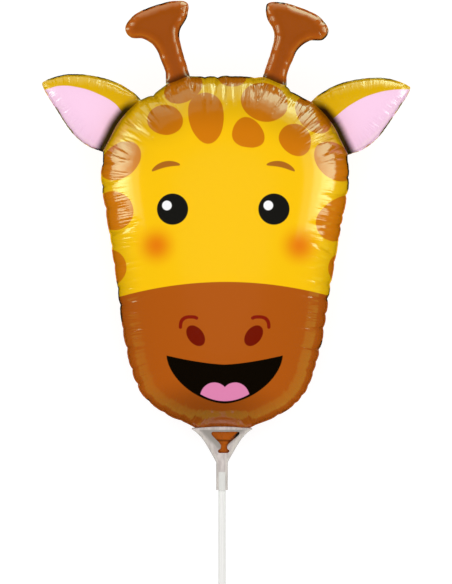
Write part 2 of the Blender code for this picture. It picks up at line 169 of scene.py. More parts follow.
def panel_loops():
    """The five fields of a panel, each a closed clockwise loop of seam and fold stretches.

    A stretch is kept without its last point, which starts the next one.
    """
    right = right_lines()
    left = {name: (line * [-1, 1])[::-1] for name, line in right.items()}
    ring = ["crown", "horn_fold", "shoulder", "ear_fold", "cheek"]
    loops = {"head": [(name, "right", right[name][:-1]) for name in ring]}
    loops["head"] += [(name, "left", left[name][:-1]) for name in ring[::-1]]
    for name in ("horn", "ear"):
        for side, lines in (("right", right), ("left", left)):
            fold = lines[name + "_fold"][::-1][:-1]
            loops[f"{name}_{side}"] = [(name, side, lines[name][:-1]), (name + "_fold", side, fold)]
    return loops


POINTS_AT_ONCE = 2000
TINY = 1e-12


def nearest_on(loop_points, points):
    """Distance from each point to the nearest point of a loop, and that point's index."""
    away = np.empty(len(points))
    index = np.empty(len(points), int)
    for start in range(0, len(points), POINTS_AT_ONCE):
        part = slice(start, start + POINTS_AT_ONCE)
        gap = np.linalg.norm(points[part, None, :] - loop_points[None, :, :], axis=2)
        index[part] = gap.argmin(axis=1)
        away[part] = gap.min(axis=1)
    return away, index


def inside_loop(points, loop):
    """True for each point within the loop, by counting crossings to its right."""
    inside = np.zeros(len(points), bool)
    a, b = loop, np.roll(loop, -1, axis=0)
    rise = np.where(b[:, 1] == a[:, 1], TINY, b[:, 1] - a[:, 1])
    for start in range(0, len(points), POINTS_AT_ONCE):
        part = slice(start, start + POINTS_AT_ONCE)
        x, y = points[part, 0][:, None], points[part, 1][:, None]
        spans = (a[:, 1] > y) != (b[:, 1] > y)
        cut = a[:, 0] + (y - a[:, 1]) / rise * (b[:, 0] - a[:, 0])
        inside[part] = (spans & (x < cut)).sum(axis=1) % 2 == 1
    return inside


def ease(value, low, high):
    """0 below low, 1 above high and a smooth step between them."""
    t = np.clip((value - low) / (high - low), 0, 1)
    return t * t * (3 - 2 * t)


# How far in from the loop its room is tried. It ends where another part of the loop lies
# nearer than this share of the way.
ROOM_REACHES = np.arange(0.002, 0.070, 0.001)
ROOM_SHARE = 0.93
# How the creases vary, as shares of their family's own sizes
CREASE_SPACING = (0.55, 1.5)
CREASE_SIZES = (0.45, 1.0)
CREASE_REACHES = (0.5, 1.25)
CREASE_WIDTHS = (0.75, 1.3)
# No crease runs in further than this share of its room
CREASE_ROOM = 0.80


class Field:
    """One field of the panels: its loop, how far along each point is, and its creases."""

    def __init__(self, name, stretches, seed):
        """Measures the loop: its length, its directions, its corners and its room."""
        self.name = name
        self.points = np.vstack([line for _, _, line in stretches])
        ahead, behind = np.roll(self.points, -1, axis=0), np.roll(self.points, 1, axis=0)
        step = np.linalg.norm(ahead - self.points, axis=1)
        self.along = np.r_[0, np.cumsum(step)[:-1]]
        self.length = step.sum()
        tangent = (ahead - behind) / np.linalg.norm(ahead - behind, axis=1)[:, None]
        self.tangent = tangent
        self.inward = np.stack([tangent[:, 1], -tangent[:, 0]], axis=1)
        self.room = self.measure_room()
        self.random = np.random.default_rng(seed)
        self.stretches = stretches
        self.corners = self.along[np.cumsum([0] + [len(line) for _, _, line in stretches[:-1]])]
        welded = [not name.endswith("_fold") for name, _, line in stretches for _ in line]
        self.welded = np.array(welded)

    def measure_room(self):
        """How far in from each point of the loop another part of the loop comes nearer."""
        every = 6
        starts, inward = self.points[::every], self.inward[::every]
        steps = inward[:, None, :] * ROOM_REACHES[None, :, None]
        away, _ = nearest_on(self.points[::2], (starts[:, None, :] + steps).reshape(-1, 2))
        short = away.reshape(len(starts), -1) < ROOM_SHARE * ROOM_REACHES
        first = ROOM_REACHES[short.argmax(axis=1)]
        room = np.where(short.any(axis=1), first, ROOM_REACHES[-1])
        return np.interp(self.along, self.along[::every], room, period=self.length)

    def lay_creases(self, families):
        """Scatters creases along the loop, one family after another."""
        rows = []
        for family in families:
            at = self.random.uniform(0, family["pitch"])
            while at < self.length:
                rows.append(self.one_crease(at, family))
                at += family["pitch"] * self.random.uniform(*CREASE_SPACING)
        return np.array(rows)

    def one_crease(self, at, family):
        """A crease's place, depth, width, reach, slant and notch, drawn at random."""
        size = self.random.uniform(*CREASE_SIZES)
        reach = family["reach"] * self.random.uniform(*CREASE_REACHES)
        room = np.interp(at, self.along, self.room)
        return (
            at,
            family["depth"] * size,
            family["width"] * self.random.uniform(*CREASE_WIDTHS),
            min(reach, CREASE_ROOM * room),
            self.random.uniform(-1, 1) * family["slant"],
            family["notch"] * size,
        )

    def place(self, points):
        """How far along the loop and in from it each point is, and its share of the room there."""
        away, index = nearest_on(self.points, points)
        offset = points - self.points[index]
        along = self.along[index] + (offset * self.tangent[index]).sum(axis=1)
        return along % self.length, away, away / self.room[index]


# A tension fold deepens and fades out again over these shares of its length
TENSION_RISE = (0.0, 0.1)
TENSION_FADE = (1.0, 0.3)


def tension_relief(points):
    """How far the tension folds at the ears and the cheeks draw the foil in."""
    relief = np.zeros(len(points))
    for start, end, depth, width in TENSION_FOLDS:
        start, run = np.array(start), np.subtract(end, start)
        share = np.clip((points - start) @ run / (run @ run), 0, 1)
        away = np.linalg.norm(points - start - share[:, None] * run, axis=1)
        lasting = depth * ease(share, *TENSION_RISE) * ease(share, *TENSION_FADE)
        relief += lasting * np.exp(-(away / width) ** 2)
    return relief


def gap_along(along, at, length):
    """Signed way along a closed loop, the short way round."""
    return (along - at + length / 2) % length - length / 2


# Across, a crease is a soft notch that widens inwards. Along, it swells a little and runs out.
SHORTEST_CREASE = 0.002
CREASE_SPREAD = (0.55, 0.75)
CREASE_SPREADS_KEPT = 4
CREASE_ROUNDNESS = 1.35
CREASE_START = 0.0030
CREASE_FADE = 1.3
CREASE_SWELL = 1.5


def crease_relief(creases, along, away, length):
    """How far the creases draw the foil in at each place."""
    relief = np.zeros(len(along))
    for at, depth, width, reach, slant, _ in creases:
        if reach < SHORTEST_CREASE:
            continue
        across = gap_along(along, at, length) - slant * away
        spread = width * (CREASE_SPREAD[0] + CREASE_SPREAD[1] * away / reach)
        near = (np.abs(across) < CREASE_SPREADS_KEPT * spread) & (away < reach)
        t = away[near] / reach
        shape = np.exp(-np.abs(across[near] / spread[near]) ** CREASE_ROUNDNESS)
        relief[near] += (
            depth * shape * ease(away[near], 0.0, CREASE_START)
            * (1 - t) ** CREASE_FADE * (1 + CREASE_SWELL * t)
        )
    return relief


NOTCH_SPREAD = 1.3
NOTCH_ROUNDNESS = 1.2


def notch_relief(creases, along, length):
    """How far each crease notches the seam in the panel's own plane."""
    relief = np.zeros(len(along))
    for at, _, width, _, _, notch in creases:
        away = np.abs(gap_along(along, at, length) / (NOTCH_SPREAD * width))
        relief += notch * np.exp(-away ** NOTCH_ROUNDNESS)
    return relief


# Each family of creases: how far apart they stand along the seam, and their own sizes
LONG_CREASES = {
    "pitch": 0.0130, "depth": 0.0012, "width": 0.0017,
    "reach": 0.029, "slant": 0.30, "notch": 0.0014,
}
SHORT_CREASES = {
    "pitch": 0.0034, "depth": 0.00062, "width": 0.00075,
    "reach": 0.022, "slant": 0.16, "notch": 0.00022,
}
EAR_CREASES = {
    "pitch": 0.0026, "depth": 0.00040, "width": 0.00065,
    "reach": 0.014, "slant": 0.20, "notch": 0.00025,
}
HORN_CREASES = {
    "pitch": 0.0100, "depth": 0.00025, "width": 0.00120,
    "reach": 0.006, "slant": 0.20, "notch": 0.00025,
}
# The creases along the seam are shallower in the head's lower half
LOWER_RELIEF = 0.35
LOWER_RELIEF_SPAN = (0.005, 0.050)
# Tension folds on the front, where the print lies: start, end, depth and half width
TENSION_FOLDS = [
    ((0.0815, 0.0860), (0.0620, 0.0750), 0.0012, 0.0011),
    ((0.0800, 0.0815), (0.0670, 0.0765), 0.0009, 0.0009),
    ((0.0640, 0.1020), (0.0530, 0.0915), 0.0008, 0.0009),
    ((0.0535, 0.1110), (0.0460, 0.0960), 0.0008, 0.0009),
    ((0.0790, -0.0020), (0.0620, 0.0075), 0.0011, 0.0012),
    ((-0.0800, 0.0110), (-0.0600, 0.0190), 0.0011, 0.0012),
    ((-0.0700, 0.0930), (-0.0560, 0.0820), 0.0009, 0.0010),
    ((-0.0050, -0.1354), (0.0080, -0.1356), 0.0010, 0.0008),
    ((0.0130, -0.1305), (0.0065, -0.1352), 0.0014, 0.0009),
]
# The first field's random draws start from this number, and the next field's from the next
FIRST_SEED = 11
# The notches keep clear of the corners where a fold meets the seam
CORNER_CLEAR = (0.0006, 0.0045)
CREASES = {
    "head": [LONG_CREASES, SHORT_CREASES],
    "ear_left": [EAR_CREASES], "ear_right": [EAR_CREASES],
    "horn_left": [HORN_CREASES], "horn_right": [HORN_CREASES],
}

fields = {
    name: Field(name, stretches, seed)
    for seed, (name, stretches) in enumerate(panel_loops().items(), FIRST_SEED)
}
front_creases, back_creases = {}, {}
for name, field in fields.items():
    front_creases[name] = field.lay_creases(CREASES[name])
    back_creases[name] = field.lay_creases(CREASES[name])
    corner_gap = np.min(
        [np.abs(gap_along(field.along, at, field.length)) for at in field.corners], axis=0
    )
    above_cup = ease(field.points[:, 1], CUP_MOUTH_Y, CUP_MOUTH_Y + GRIP_REACH)
    free = ease(corner_gap, *CORNER_CLEAR) * above_cup
    notch = notch_relief(front_creases[name], field.along, field.length)
    shift = np.where(field.welded, notch * free, 0.0)
    field.edge = field.points + field.inward * shift[:, None]


def outer_seam():
    """The whole welded edge, clockwise from the crown, with its notches."""
    order = [
        ("crown", "head"), ("horn", "horn"), ("shoulder", "head"), ("ear", "ear"), ("cheek", "head"),
    ]
    seam = []
    for side, names in (("right", order), ("left", order[::-1])):
        for stretch, owner in names:
            field = fields["head" if owner == "head" else f"{owner}_{side}"]
            start = 0
            for name, its_side, line in field.stretches:
                if (name, its_side) == (stretch, side):
                    seam.append(field.edge[start:start + len(line)])
                start += len(line)
    return np.vstack(seam)


def fold_rows():
    """Points along the folds of both sides, and how high the foil stands at each."""
    places, heights = [], []
    for name, height in (("horn_fold", HORN_FOLD_HEIGHT), ("ear_fold", EAR_FOLD_HEIGHT)):
        for stretch, _, line in fields["head"].stretches:
            if stretch == name:
                across = np.linspace(-1, 1, len(line) + 1)[1:-1]
                places.append(line[1:])
                heights.append(height * np.sqrt(1 - across**2))
    return places, np.concatenate(heights)


def clear_of(kept, candidates, gap):
    """The candidates that keep a gap from all that is kept and from each other."""
    tree = KDTree(len(kept))
    for k, (x, y) in enumerate(kept):
        tree.insert((x, y, 0), k)
    tree.balance()
    added = []
    for x, y in candidates:
        if tree.find((x, y, 0))[2] < gap:
            continue
        if added and math.hypot(x - added[-1][0], y - added[-1][1]) < gap:
            continue
        added.append((x, y))
    return np.array(added).reshape(-1, 2)


# How near the mesh's points may lie, as shares of their own spacing
RING_GAP = 0.55
RING_CLEAR = 0.90
INNER_CLEAR = 0.62
# The rows of an even field of triangles lie this far apart
ROW_STEP = INNER_STEP * math.sqrt(0.75)


def panel_points(seam, folds):
    """Points of one panel: rings beside the seam and the folds, and an even field inside."""
    kept = np.vstack([seam, folds])
    outside = 0
    for inset in RING_INSETS:
        gap = RING_GAP * min(SEAM_STEP, inset - outside)
        outside = inset
        for field in fields.values():
            ring = field.edge + field.inward * inset
            away, _ = nearest_on(field.edge, ring)
            ring = ring[(away > RING_CLEAR * inset) & inside_loop(ring, field.edge)]
            kept = np.vstack([kept, clear_of(kept, ring, gap)])
    low, high = seam.min(axis=0), seam.max(axis=0)
    rows = np.arange(low[1], high[1], ROW_STEP)
    columns = np.arange(low[0], high[0], INNER_STEP)
    lattice = np.array([
        (x + (INNER_STEP / 2 if row % 2 else 0), y) for row, y in enumerate(rows) for x in columns
    ])
    lattice = lattice[inside_loop(lattice, seam)]
    tree = KDTree(len(kept))
    for k, (x, y) in enumerate(kept):
        tree.insert((x, y, 0), k)
    tree.balance()
    open_spots = [tree.find((x, y, 0))[2] > INNER_CLEAR * INNER_STEP for x, y in lattice]
    return np.vstack([kept, lattice[open_spots]])[len(seam):]


LEAST_STIFFNESS = 1e-9
# The membrane is solved by steps, until what is left is this small a share of the start
SOLVER_GOAL = 1e-14
SOLVER_STEPS = 4000


def membrane(points, triangles, held):
    """Deflection of a membrane under unit pressure. It is given where held isn't NaN."""
    rows, columns, weights = [], [], []
    load = np.zeros(len(points))
    for k in range(3):
        i, j, o = triangles[:, k], triangles[:, (k + 1) % 3], triangles[:, (k + 2) % 3]
        a, b = points[i] - points[o], points[j] - points[o]
        area2 = np.abs(a[:, 0] * b[:, 1] - a[:, 1] * b[:, 0])
        weight = 0.5 * (a * b).sum(axis=1) / np.maximum(area2, TINY)
        rows += [i, j]
        columns += [j, i]
        weights += [weight, weight]
        load += np.bincount(i, area2 / 6, len(points))
    rows, columns, weights = np.concatenate(rows), np.concatenate(columns), np.concatenate(weights)
    own = np.bincount(rows, weights, len(points))

    def stiffness_times(values):
        """The membrane's pull at each point when its points stand this high."""
        return own * values - np.bincount(rows, weights * values[columns], len(points))

    free = np.isnan(held)
    deflection = np.where(free, 0.0, held)
    rest = np.where(free, load - stiffness_times(deflection), 0.0)
    scale = np.where(free, 1 / np.maximum(own, LEAST_STIFFNESS), 0.0)
    push = scale * rest
    energy = (rest * push).sum()
    goal = SOLVER_GOAL * energy
    for _ in range(SOLVER_STEPS):
        answer = np.where(free, stiffness_times(push), 0.0)
        length = energy / (push * answer).sum()
        deflection += length * push
        rest -= length * answer
        eased = scale * rest
        fresh = (rest * eased).sum()
        if fresh < goal:
            break
        push = eased + fresh / energy * push
        energy = fresh
    return np.maximum(deflection, 0)


def lean(points):
    """The head leans a little to one side, above the cup's mouth."""
    turned = points.copy()
    above = points[:, 1] > CUP_MOUTH_Y
    c, s = math.cos(HEAD_LEAN), math.sin(HEAD_LEAN)
    x, y = points[above, 0], points[above, 1] - CUP_MOUTH_Y
    turned[above, 0] = x * c + y * s
    turned[above, 1] = CUP_MOUTH_Y - x * s + y * c
    return turned


# A height above the whole balloon, from which its solid is looked for
ABOVE_ALL = 0.2


def cup_limit(points):
    """The height of the solid balloon near the cup, which the foil never passes."""
    node = frame["nodes"]["foil_balloon"].data
    to_own_frame = LYING_POSE.inverted()
    corners = [to_own_frame @ v.co for v in node.vertices]
    tree = BVHTree.FromPolygons(corners, [tuple(p.vertices) for p in node.polygons])
    limit = np.full(len(points), np.inf)
    leaned = lean(points)
    for k in np.flatnonzero(points[:, 1] < CUP_MOUTH_Y + GRIP_REACH):
        hit = tree.ray_cast(Vector((*leaned[k], ABOVE_ALL)), Vector((0, 0, -1)))[0]
        limit[k] = hit.z if hit else FLANGE_HALF_THICKNESS
    return limit


def surface_normals(places, triangles):
    """The normal of a panel at each of its points, from the faces round it."""
    a, b, c = (places[triangles[:, k]] for k in range(3))
    face = np.cross(b - a, c - a)
    face *= np.sign(face[:, 2])[:, None] + (face[:, 2] == 0)[:, None]
    normal = np.stack([
        sum(np.bincount(triangles[:, k], face[:, axis], len(places)) for k in range(3))
        for axis in range(3)
    ], axis=1)
    return normal / np.linalg.norm(normal, axis=1)[:, None]


# Corners nearer than this are one
MERGE_GAP = 1e-7
# The weld lies flat over this share of its width
FLANGE_SHARE = 0.98
# The creases have their whole depth where the foil stands this high
RELIEF_HEIGHT = 0.004
FOIL_SHARP_ANGLE = 70
MM_PER_METRE = 1000


def build_foil():
    """The whole envelope as one closed mesh, creased, welded, leaning and laid down."""
    seam = outer_seam()
    folds, fold_heights = fold_rows()
    fold_count = sum(len(row) for row in folds)
    inner = panel_points(seam, np.vstack(folds))
    n = len(seam)
    edges = [(i, (i + 1) % n) for i in range(n)]
    start = n
    for row in folds:
        edges += [(start + k, start + k + 1) for k in range(len(row) - 1)]
        start += len(row)
    flat = [Vector(p) for p in np.vstack([seam, inner])]
    verts, _, faces, *_ = delaunay_2d_cdt(flat, edges, [], 1, MERGE_GAP)
    points = np.array(verts)
    triangles = np.array([f for f in faces if len(f) == 3])
    turn = np.cross(points[triangles[:, 1]] - points[triangles[:, 0]],
                    points[triangles[:, 2]] - points[triangles[:, 0]])
    triangles[turn < 0] = triangles[turn < 0][:, ::-1]

    from_seam, _ = nearest_on(seam, points)
    held = np.full(len(points), np.nan)
    held[from_seam < FLANGE_WIDTH * FLANGE_SHARE] = 0.0
    held[n:n + fold_count] = (fold_heights / FULLNESS) ** 2 / 2
    height = FULLNESS * np.sqrt(2 * membrane(points, triangles, held))
    height = np.maximum(height, FLANGE_HALF_THICKNESS)
    height = np.minimum(height, np.maximum(cup_limit(points), FLANGE_HALF_THICKNESS))

    owner = np.full(len(points), "head", dtype=object)
    for name in fields:
        if name != "head":
            owner[inside_loop(points, fields[name].edge)] = name
    owner[n:n + fold_count] = "head"
    along, away, share = np.zeros(len(points)), np.zeros(len(points)), np.zeros(len(points))
    relief = {"front": np.zeros(len(points)), "back": np.zeros(len(points))}
    for name, field in fields.items():
        mine = owner == name
        along[mine], away[mine], share[mine] = field.place(points[mine])
        for side, creases in (("front", front_creases), ("back", back_creases)):
            relief[side][mine] = crease_relief(creases[name], along[mine], away[mine], field.length)
    lower = LOWER_RELIEF + (1 - LOWER_RELIEF) * ease(points[:, 1], *LOWER_RELIEF_SPAN)
    relief["front"] *= lower
    relief["back"] *= lower
    relief["front"] += tension_relief(lean(points))
    from_crease, _ = nearest_on(np.vstack(folds), points)
    body = ease(height, FLANGE_HALF_THICKNESS, RELIEF_HEIGHT)
    wave = sum(
        part * np.sin(2 * np.pi * along / length + lead) for part, length, lead in SEAM_WAVES
    )
    above_mouth = ease(points[:, 1], CUP_MOUTH_Y, CUP_MOUTH_Y + GRIP_REACH)
    wave *= SEAM_WAVE * np.exp(-(from_seam / SEAM_WAVE_REACH) ** 2) * above_mouth

    sheets = []
    for side, sign in (("front", 1), ("back", -1)):
        sheet = np.column_stack([points, height])
        normal = surface_normals(sheet, triangles)
        sheet -= normal * (relief[side] * body)[:, None]
        sheet[:, 2] = np.maximum(sheet[:, 2], FLANGE_HALF_THICKNESS) * sign + wave
        sheet[:, :2] = lean(sheet[:, :2])
        sheets.append(sheet)
    count = len(points)
    places = np.vstack(sheets)
    wall = [(i, (i + 1) % n, (i + 1) % n + count, i + count) for i in range(n)]
    polygons = [tuple(t) for t in triangles]
    polygons += [tuple(t[::-1] + count) for t in triangles]
    polygons += [w[::-1] for w in wall]

    mesh = bpy.data.meshes.new("printed_foil_balloon")
    mesh.from_pydata(places.tolist(), [], polygons)
    mesh.transform(LYING_POSE)
    for vertex in mesh.vertices:
        vertex.co.z = max(vertex.co.z, 0.0)
    horn = np.array([o.startswith("horn") for o in owner], float)
    ear = np.array([o.startswith("ear") for o in owner], float)
    for name, values in (
        ("from_seam", from_seam * MM_PER_METRE), ("along_edge", along * MM_PER_METRE),
        ("from_edge", away * MM_PER_METRE), ("from_fold", from_crease * MM_PER_METRE),
        ("room_share", share), ("horn", horn), ("ear", ear),
    ):
        attribute = mesh.attributes.new(name, "FLOAT", "POINT")
        attribute.data.foreach_set("value", np.tile(values, 2).astype(np.float32))
    mesh.validate()
    mesh.shade_smooth()
    mesh.set_sharp_from_angle(angle=math.radians(FOIL_SHARP_ANGLE))
    piece = bpy.data.objects.new("printed_foil_balloon", mesh)
    bpy.context.scene.collection.objects.link(piece)
    print("balloon", len(points), "points a side,", 2 * len(triangles), "triangles")
    return piece


foil = build_foil()
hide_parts("foil_balloon")
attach(foil, "root")

# Foil balloon, print
# Both panels are printed before they are welded: yellow film with brown patches, a brown
# muzzle and brown ossicones. The front panel also has the face and the pink of the ears.
YELLOW = (255, 199, 2)
# The yellow in painted shade, on the crown and towards the seam
PAINTED_SHADE_YELLOW = (224, 174, 3)
SPOT_BROWN = (215, 123, 2)
# The patches' brown in painted shade, on the crown
PAINTED_SHADE_SPOT_BROWN = (188, 107, 1)
MUZZLE_BROWN = (180, 88, 13)
# The muzzle's brown in painted shade, on the chin
CHIN_SHADE_BROWN = (140, 67, 10)
HORN_BROWN = (158, 76, 10)
EDGE_HORN_BROWN = (184, 92, 22)
EAR_GOLD = (228, 178, 2)
EAR_PINK = (254, 210, 238)
BROW_BROWN = (178, 105, 27)
EYE_BLACK = (26, 25, 22)
EYE_WHITE = (252, 252, 252)
BLUSH_ORANGE = (238, 126, 0)
NOSTRIL_RED = (116, 19, 0)
MOUTH_BLACK = (14, 8, 2)
TONGUE_PINK = (226, 133, 178)
# Painted shade along the seam, black and olive, and black painted shade at the folds
SEAM_SHADE_BLACK = (24, 18, 4)
SEAM_SHADE_OLIVE = (132, 116, 26)
PAINTED_SHADE_BLACK = (20, 13, 8)
NOSTRIL_LINE_RED = (136, 24, 4)

# Each patch: its centre, half sizes, turn in degrees, and how much narrower its top is
PATCHES = [
    ((-27.6, 115.8), (14.4, 10.4), 28, 0.0),
    ((-40.6, 93.1), (12.9, 10.7), -8, 0.06),
    ((-11.1, 94.0), (12.6, 18.3), 7, -0.16),
    ((7.5, 124.0), (10.4, 7.3), 0, 0.0),
    ((30.2, 105.6), (17.0, 13.7), -16, 0.0),
    ((19.2, 82.9), (10.2, 11.9), 60, -0.25),
    ((52.4, 79.0), (12.2, 10.7), -42, 0.10),
    ((65.2, 96.8), (15.4, 10.9), -48, 0.0),
    ((-72.4, 63.8), (16.6, 11.8), 40, 0.0),
    ((80.4, 63.4), (16.8, 12.0), -40, 0.0),
    ((-77.4, 28.3), (14.6, 13.7), -12, 0.0),
    ((83.3, 24.0), (12.5, 18.5), -40, 0.25),
    ((-81.0, -12.0), (13.0, 12.9), 0, 0.0),
    ((85.2, -12.6), (9.6, 10.2), 0, 0.0),
]
# The patches' edges waver: how far, and how closely
PATCH_WAVER = 1.5
PATCH_WAVER_SCALE = 0.045
MUZZLE_TOP = (2.9, -22.4)
MUZZLE_CURVE = 0.00183
FACE_MIDDLE = 0.95
BROW_CENTRE = (-39.8, 58.7)
BROW_HALF_LENGTH = 10.4
BROW_HALF_THICKNESS = 2.15
BROW_ARCH = 2.5
BROW_TURN = 12.5
# The share of its arch over which a brow's tip fades out
BROW_TIP = 0.05
EYE_CENTRES = [(-35.1, 29.3), (36.9, 29.3)]
EYE_RADIUS = 11.1
GLINT_OFFSET = (-4.0, 2.6)
GLINT_RADIUS = 3.4
BLUSH_CENTRES = [(-46.6, 3.4), (55.1, 3.4)]
BLUSH_RADIUS = 17.5
NOSTRIL_CENTRES = [(-18.7, -60.6), (22.5, -60.6)]
NOSTRIL_HALF_SIZE = (8.3, 5.5)
NOSTRIL_TURN = -52
# The red line that arches over each nostril's outer side
NOSTRIL_LINE_CENTRE = (3.5, 6.05)
NOSTRIL_LINE_RADIUS = 7.3
NOSTRIL_LINE_ROUNDNESS = 2.6
NOSTRIL_LINE_WIDTH = 2.4
NOSTRIL_LINE_END = (4.2, 6.5)
MOUTH_MIDDLE = (1.9, -74.7)
MOUTH_HALF_WIDTH = 41.3
MOUTH_DEPTH = 34.2
MOUTH_ROUNDNESS = 1.72
LIP_SAG = 6.4
LIP_ROUNDNESS = 1.5
TONGUE_CENTRES = [(-5.4, -104.6), (9.4, -104.6)]
TONGUE_HALF_SIZE = (10.2, 10.7)
TONGUE_BOTTOM = (2.0, -107.2)
TONGUE_CURVE = 0.0166
# The border between an ear's gold rim and its pink lining, from the left ear to the right
EAR_BORDER = [
    (-140.0, 112.0), (-126.4, 114.7), (-115.7, 117.5), (-101.4, 116.1), (-87.1, 111.1),
    (-77.1, 105.4), (-69.6, 97.5), (0.0, 60.0), (72.0, 87.0), (80.0, 94.5), (94.2, 105.4),
    (108.5, 111.8), (122.8, 114.7), (140.0, 114.7),
]
EAR_SPAN = 140.0
# Painted shade darkens the ears and horns close to their folds, the ears only below a height
EAR_SHADE_REACH = (8.5, 2.3)
EAR_SHADE_SPAN = (112.0, 100.0)
HORN_SHADE_REACH = (6.0, 0.5)
HORN_SHADE_DEPTH = 0.75
# The horns' colour turns lighter along their edge
HORN_RIM = (7.0, 1.5)
# Painted shade: the yellow darkens a little towards the seam, everywhere
SIDE_SHADE_REACH = (18.0, 3.0)
SIDE_SHADE_DEPTH = 0.45
# Painted shade darkens the crown: from how far inside the seam, and from what height up
CROWN_SHADE_REACH = (44.0, 14.0)
CROWN_SHADE_SPAN = (45.0, 90.0)
# Painted shade on the neck in the cup's window: a fold across it, and its far side
NECK_CREASE_SHADE = ((1.4, -135.5), (6.8, 0.7), -3)
NECK_CREASE_SHADE_DEPTH = 0.55
NECK_FOLD_SHADE = ((11.5, -131.6), (1.7, 3.4), -38)
NECK_FOLD_SHADE_SOFTNESS = 0.8
# Painted shade makes the muzzle's brown darker on the chin
CHIN_SHADE_CENTRE = (-8.0, -113.0)
CHIN_SHADE_HALF_SIZE = (34.0, 14.0)
CHIN_SHADE_SOFTNESS = 12.0
# Painted shade along the seam, as thin olive and black lines: their widths, and where a noise lets them
# show
OLIVE_LINE = (2.0, 1.4)
OLIVE_SHOWS = (0.42, 0.50)
OLIVE_SPAN = (70.0, 85.0)
BLACK_LINE = (1.2, 0.8)
BLACK_SHOWS = (0.56, 0.60)
LINE_SCALE = 0.050
LINE_DETAIL = 3.0
SEAM_LINE_HEIGHT = (1.6, 0.9)
# Stretches of the seam in black painted shade all along: the middle and half size of each
SHADED_SEAM_STRETCHES = [
    ((-11.2, 123.3), (6.0, 5.0)), ((11.6, 123.3), (8.6, 5.0)), ((53.8, 107.6), (6.5, 7.5)),
    ((90.5, 55.5), (6.0, 12.5)), ((-74.8, -39.5), (6.0, 14.3)),
]
STRETCH_LINE = (1.9, 1.4)
STRETCH_HEIGHT = (3.2, 2.2)
STRETCH_SOFTNESS = 0.6
# Half the width over which a printed edge turns from one colour to the other
SHARP = 0.30


def ink(colour):
    """A printed colour as the shader takes it, from its values out of 255."""
    shares = [value / 255 for value in colour]
    linear = [v / 12.92 if v <= 0.04045 else ((v + 0.055) / 1.055) ** 2.4 for v in shares]
    return (*linear, 1.0)


def feed(tree, socket, value):
    """Gives a socket a number, a colour or another socket's output."""
    if isinstance(value, bpy.types.NodeSocket):
        tree.links.new(value, socket)
    else:
        socket.default_value = value


def calc(tree, operation, *values):
    """What an arithmetic node makes of the values."""
    node = tree.nodes.new("ShaderNodeMath")
    node.operation = operation
    for socket, value in zip(node.inputs, values):
        feed(tree, socket, value)
    return node.outputs[0]


def ramp(tree, value, low, high, first=0.0, last=1.0):
    """First at low, last at high, with a smooth step between them."""
    node = tree.nodes.new("ShaderNodeMapRange")
    node.interpolation_type = "SMOOTHSTEP"
    for name, number in (
        ("Value", value), ("From Min", low), ("From Max", high), ("To Min", first), ("To Max", last),
    ):
        feed(tree, node.inputs[name], number)
    return node.outputs["Result"]


def blend_colour(tree, mask, under, over):
    """The colour over, where the mask is 1, and the colour under elsewhere."""
    node = tree.nodes.new("ShaderNodeMix")
    node.data_type = "RGBA"
    feed(tree, node.inputs["Factor"], mask)
    feed(tree, node.inputs["A"], under)
    feed(tree, node.inputs["B"], over)
    return node.outputs["Result"]


def split(tree, vector):
    """The three parts of a place."""
    node = tree.nodes.new("ShaderNodeSeparateXYZ")
    tree.links.new(vector, node.inputs["Vector"])
    return node.outputs["X"], node.outputs["Y"], node.outputs["Z"]


def moved(tree, vector, location=(0, 0, 0), turn=0.0, scale=(1, 1, 1)):
    """The plane's coordinates as seen from a place, turned and scaled to it."""
    node = tree.nodes.new("ShaderNodeMapping")
    node.vector_type = "TEXTURE"
    feed(tree, node.inputs["Vector"], vector)
    node.inputs["Location"].default_value = (*location[:2], 0)
    node.inputs["Rotation"].default_value = (0, 0, math.radians(turn))
    node.inputs["Scale"].default_value = scale
    return node.outputs["Vector"]


def oval(tree, plane, centre, half_size, turn=0.0, narrow_top=0.0, soft=SHARP):
    """1 inside an oval or egg shape, and 0 outside."""
    x, y, _ = split(tree, moved(tree, plane, centre, turn, (*half_size, 1)))
    x = calc(tree, "MULTIPLY", x, calc(tree, "MULTIPLY_ADD", y, narrow_top, 1.0))
    squares = [calc(tree, "MULTIPLY", value, value) for value in (x, y)]
    r = calc(tree, "SQRT", calc(tree, "ADD", *squares))
    edge = soft / min(half_size)
    return ramp(tree, r, 1 - edge, 1 + edge, 1.0, 0.0)


def either(tree, *masks):
    """1 where any of the masks is."""
    joined = masks[0]
    for mask in masks[1:]:
        joined = calc(tree, "MAXIMUM", joined, mask)
    return joined


def both(tree, first, second):
    """1 where both masks are, or a mask at a share of its strength."""
    return calc(tree, "MULTIPLY", first, second)


def below(tree, y, line, soft=SHARP):
    """1 where y is under a line's height."""
    return ramp(tree, calc(tree, "SUBTRACT", y, line), -soft, soft, 1.0, 0.0)


def parabola(tree, x, top, curve):
    """The height of an arch that falls away from its top."""
    across = calc(tree, "SUBTRACT", x, top[0])
    return calc(tree, "MULTIPLY_ADD", calc(tree, "MULTIPLY", across, across), -curve, top[1])


def value_on(tree, name):
    """A value that the piece's mesh holds at each corner."""
    node = tree.nodes.new("ShaderNodeAttribute")
    node.attribute_name = name
    return node.outputs["Fac"]


def noise(tree, vector, scale, detail=2.0):
    """A soft random pattern with so many waves to each unit of the place that it reads."""
    node = tree.nodes.new("ShaderNodeTexNoise")
    feed(tree, node.inputs["Vector"], vector)
    node.inputs["Scale"].default_value = scale
    node.inputs["Detail"].default_value = detail
    return node


def face_plane(tree):
    """Millimetres across, up and out of the face, on a piece that lies in its pose."""
    place = tree.nodes.new("ShaderNodeTexCoord")
    node = tree.nodes.new("ShaderNodeMapping")
    tree.links.new(place.outputs["Object"], node.inputs["Vector"])
    rise = MM_PER_METRE * SEAM_HEIGHT
    node.inputs["Location"].default_value = (
        0, -rise * math.sin(LYING_TILT), -rise * math.cos(LYING_TILT)
    )
    node.inputs["Rotation"].default_value = (-LYING_TILT, 0, 0)
    node.inputs["Scale"].default_value = [MM_PER_METRE] * 3
    return node.outputs["Vector"]


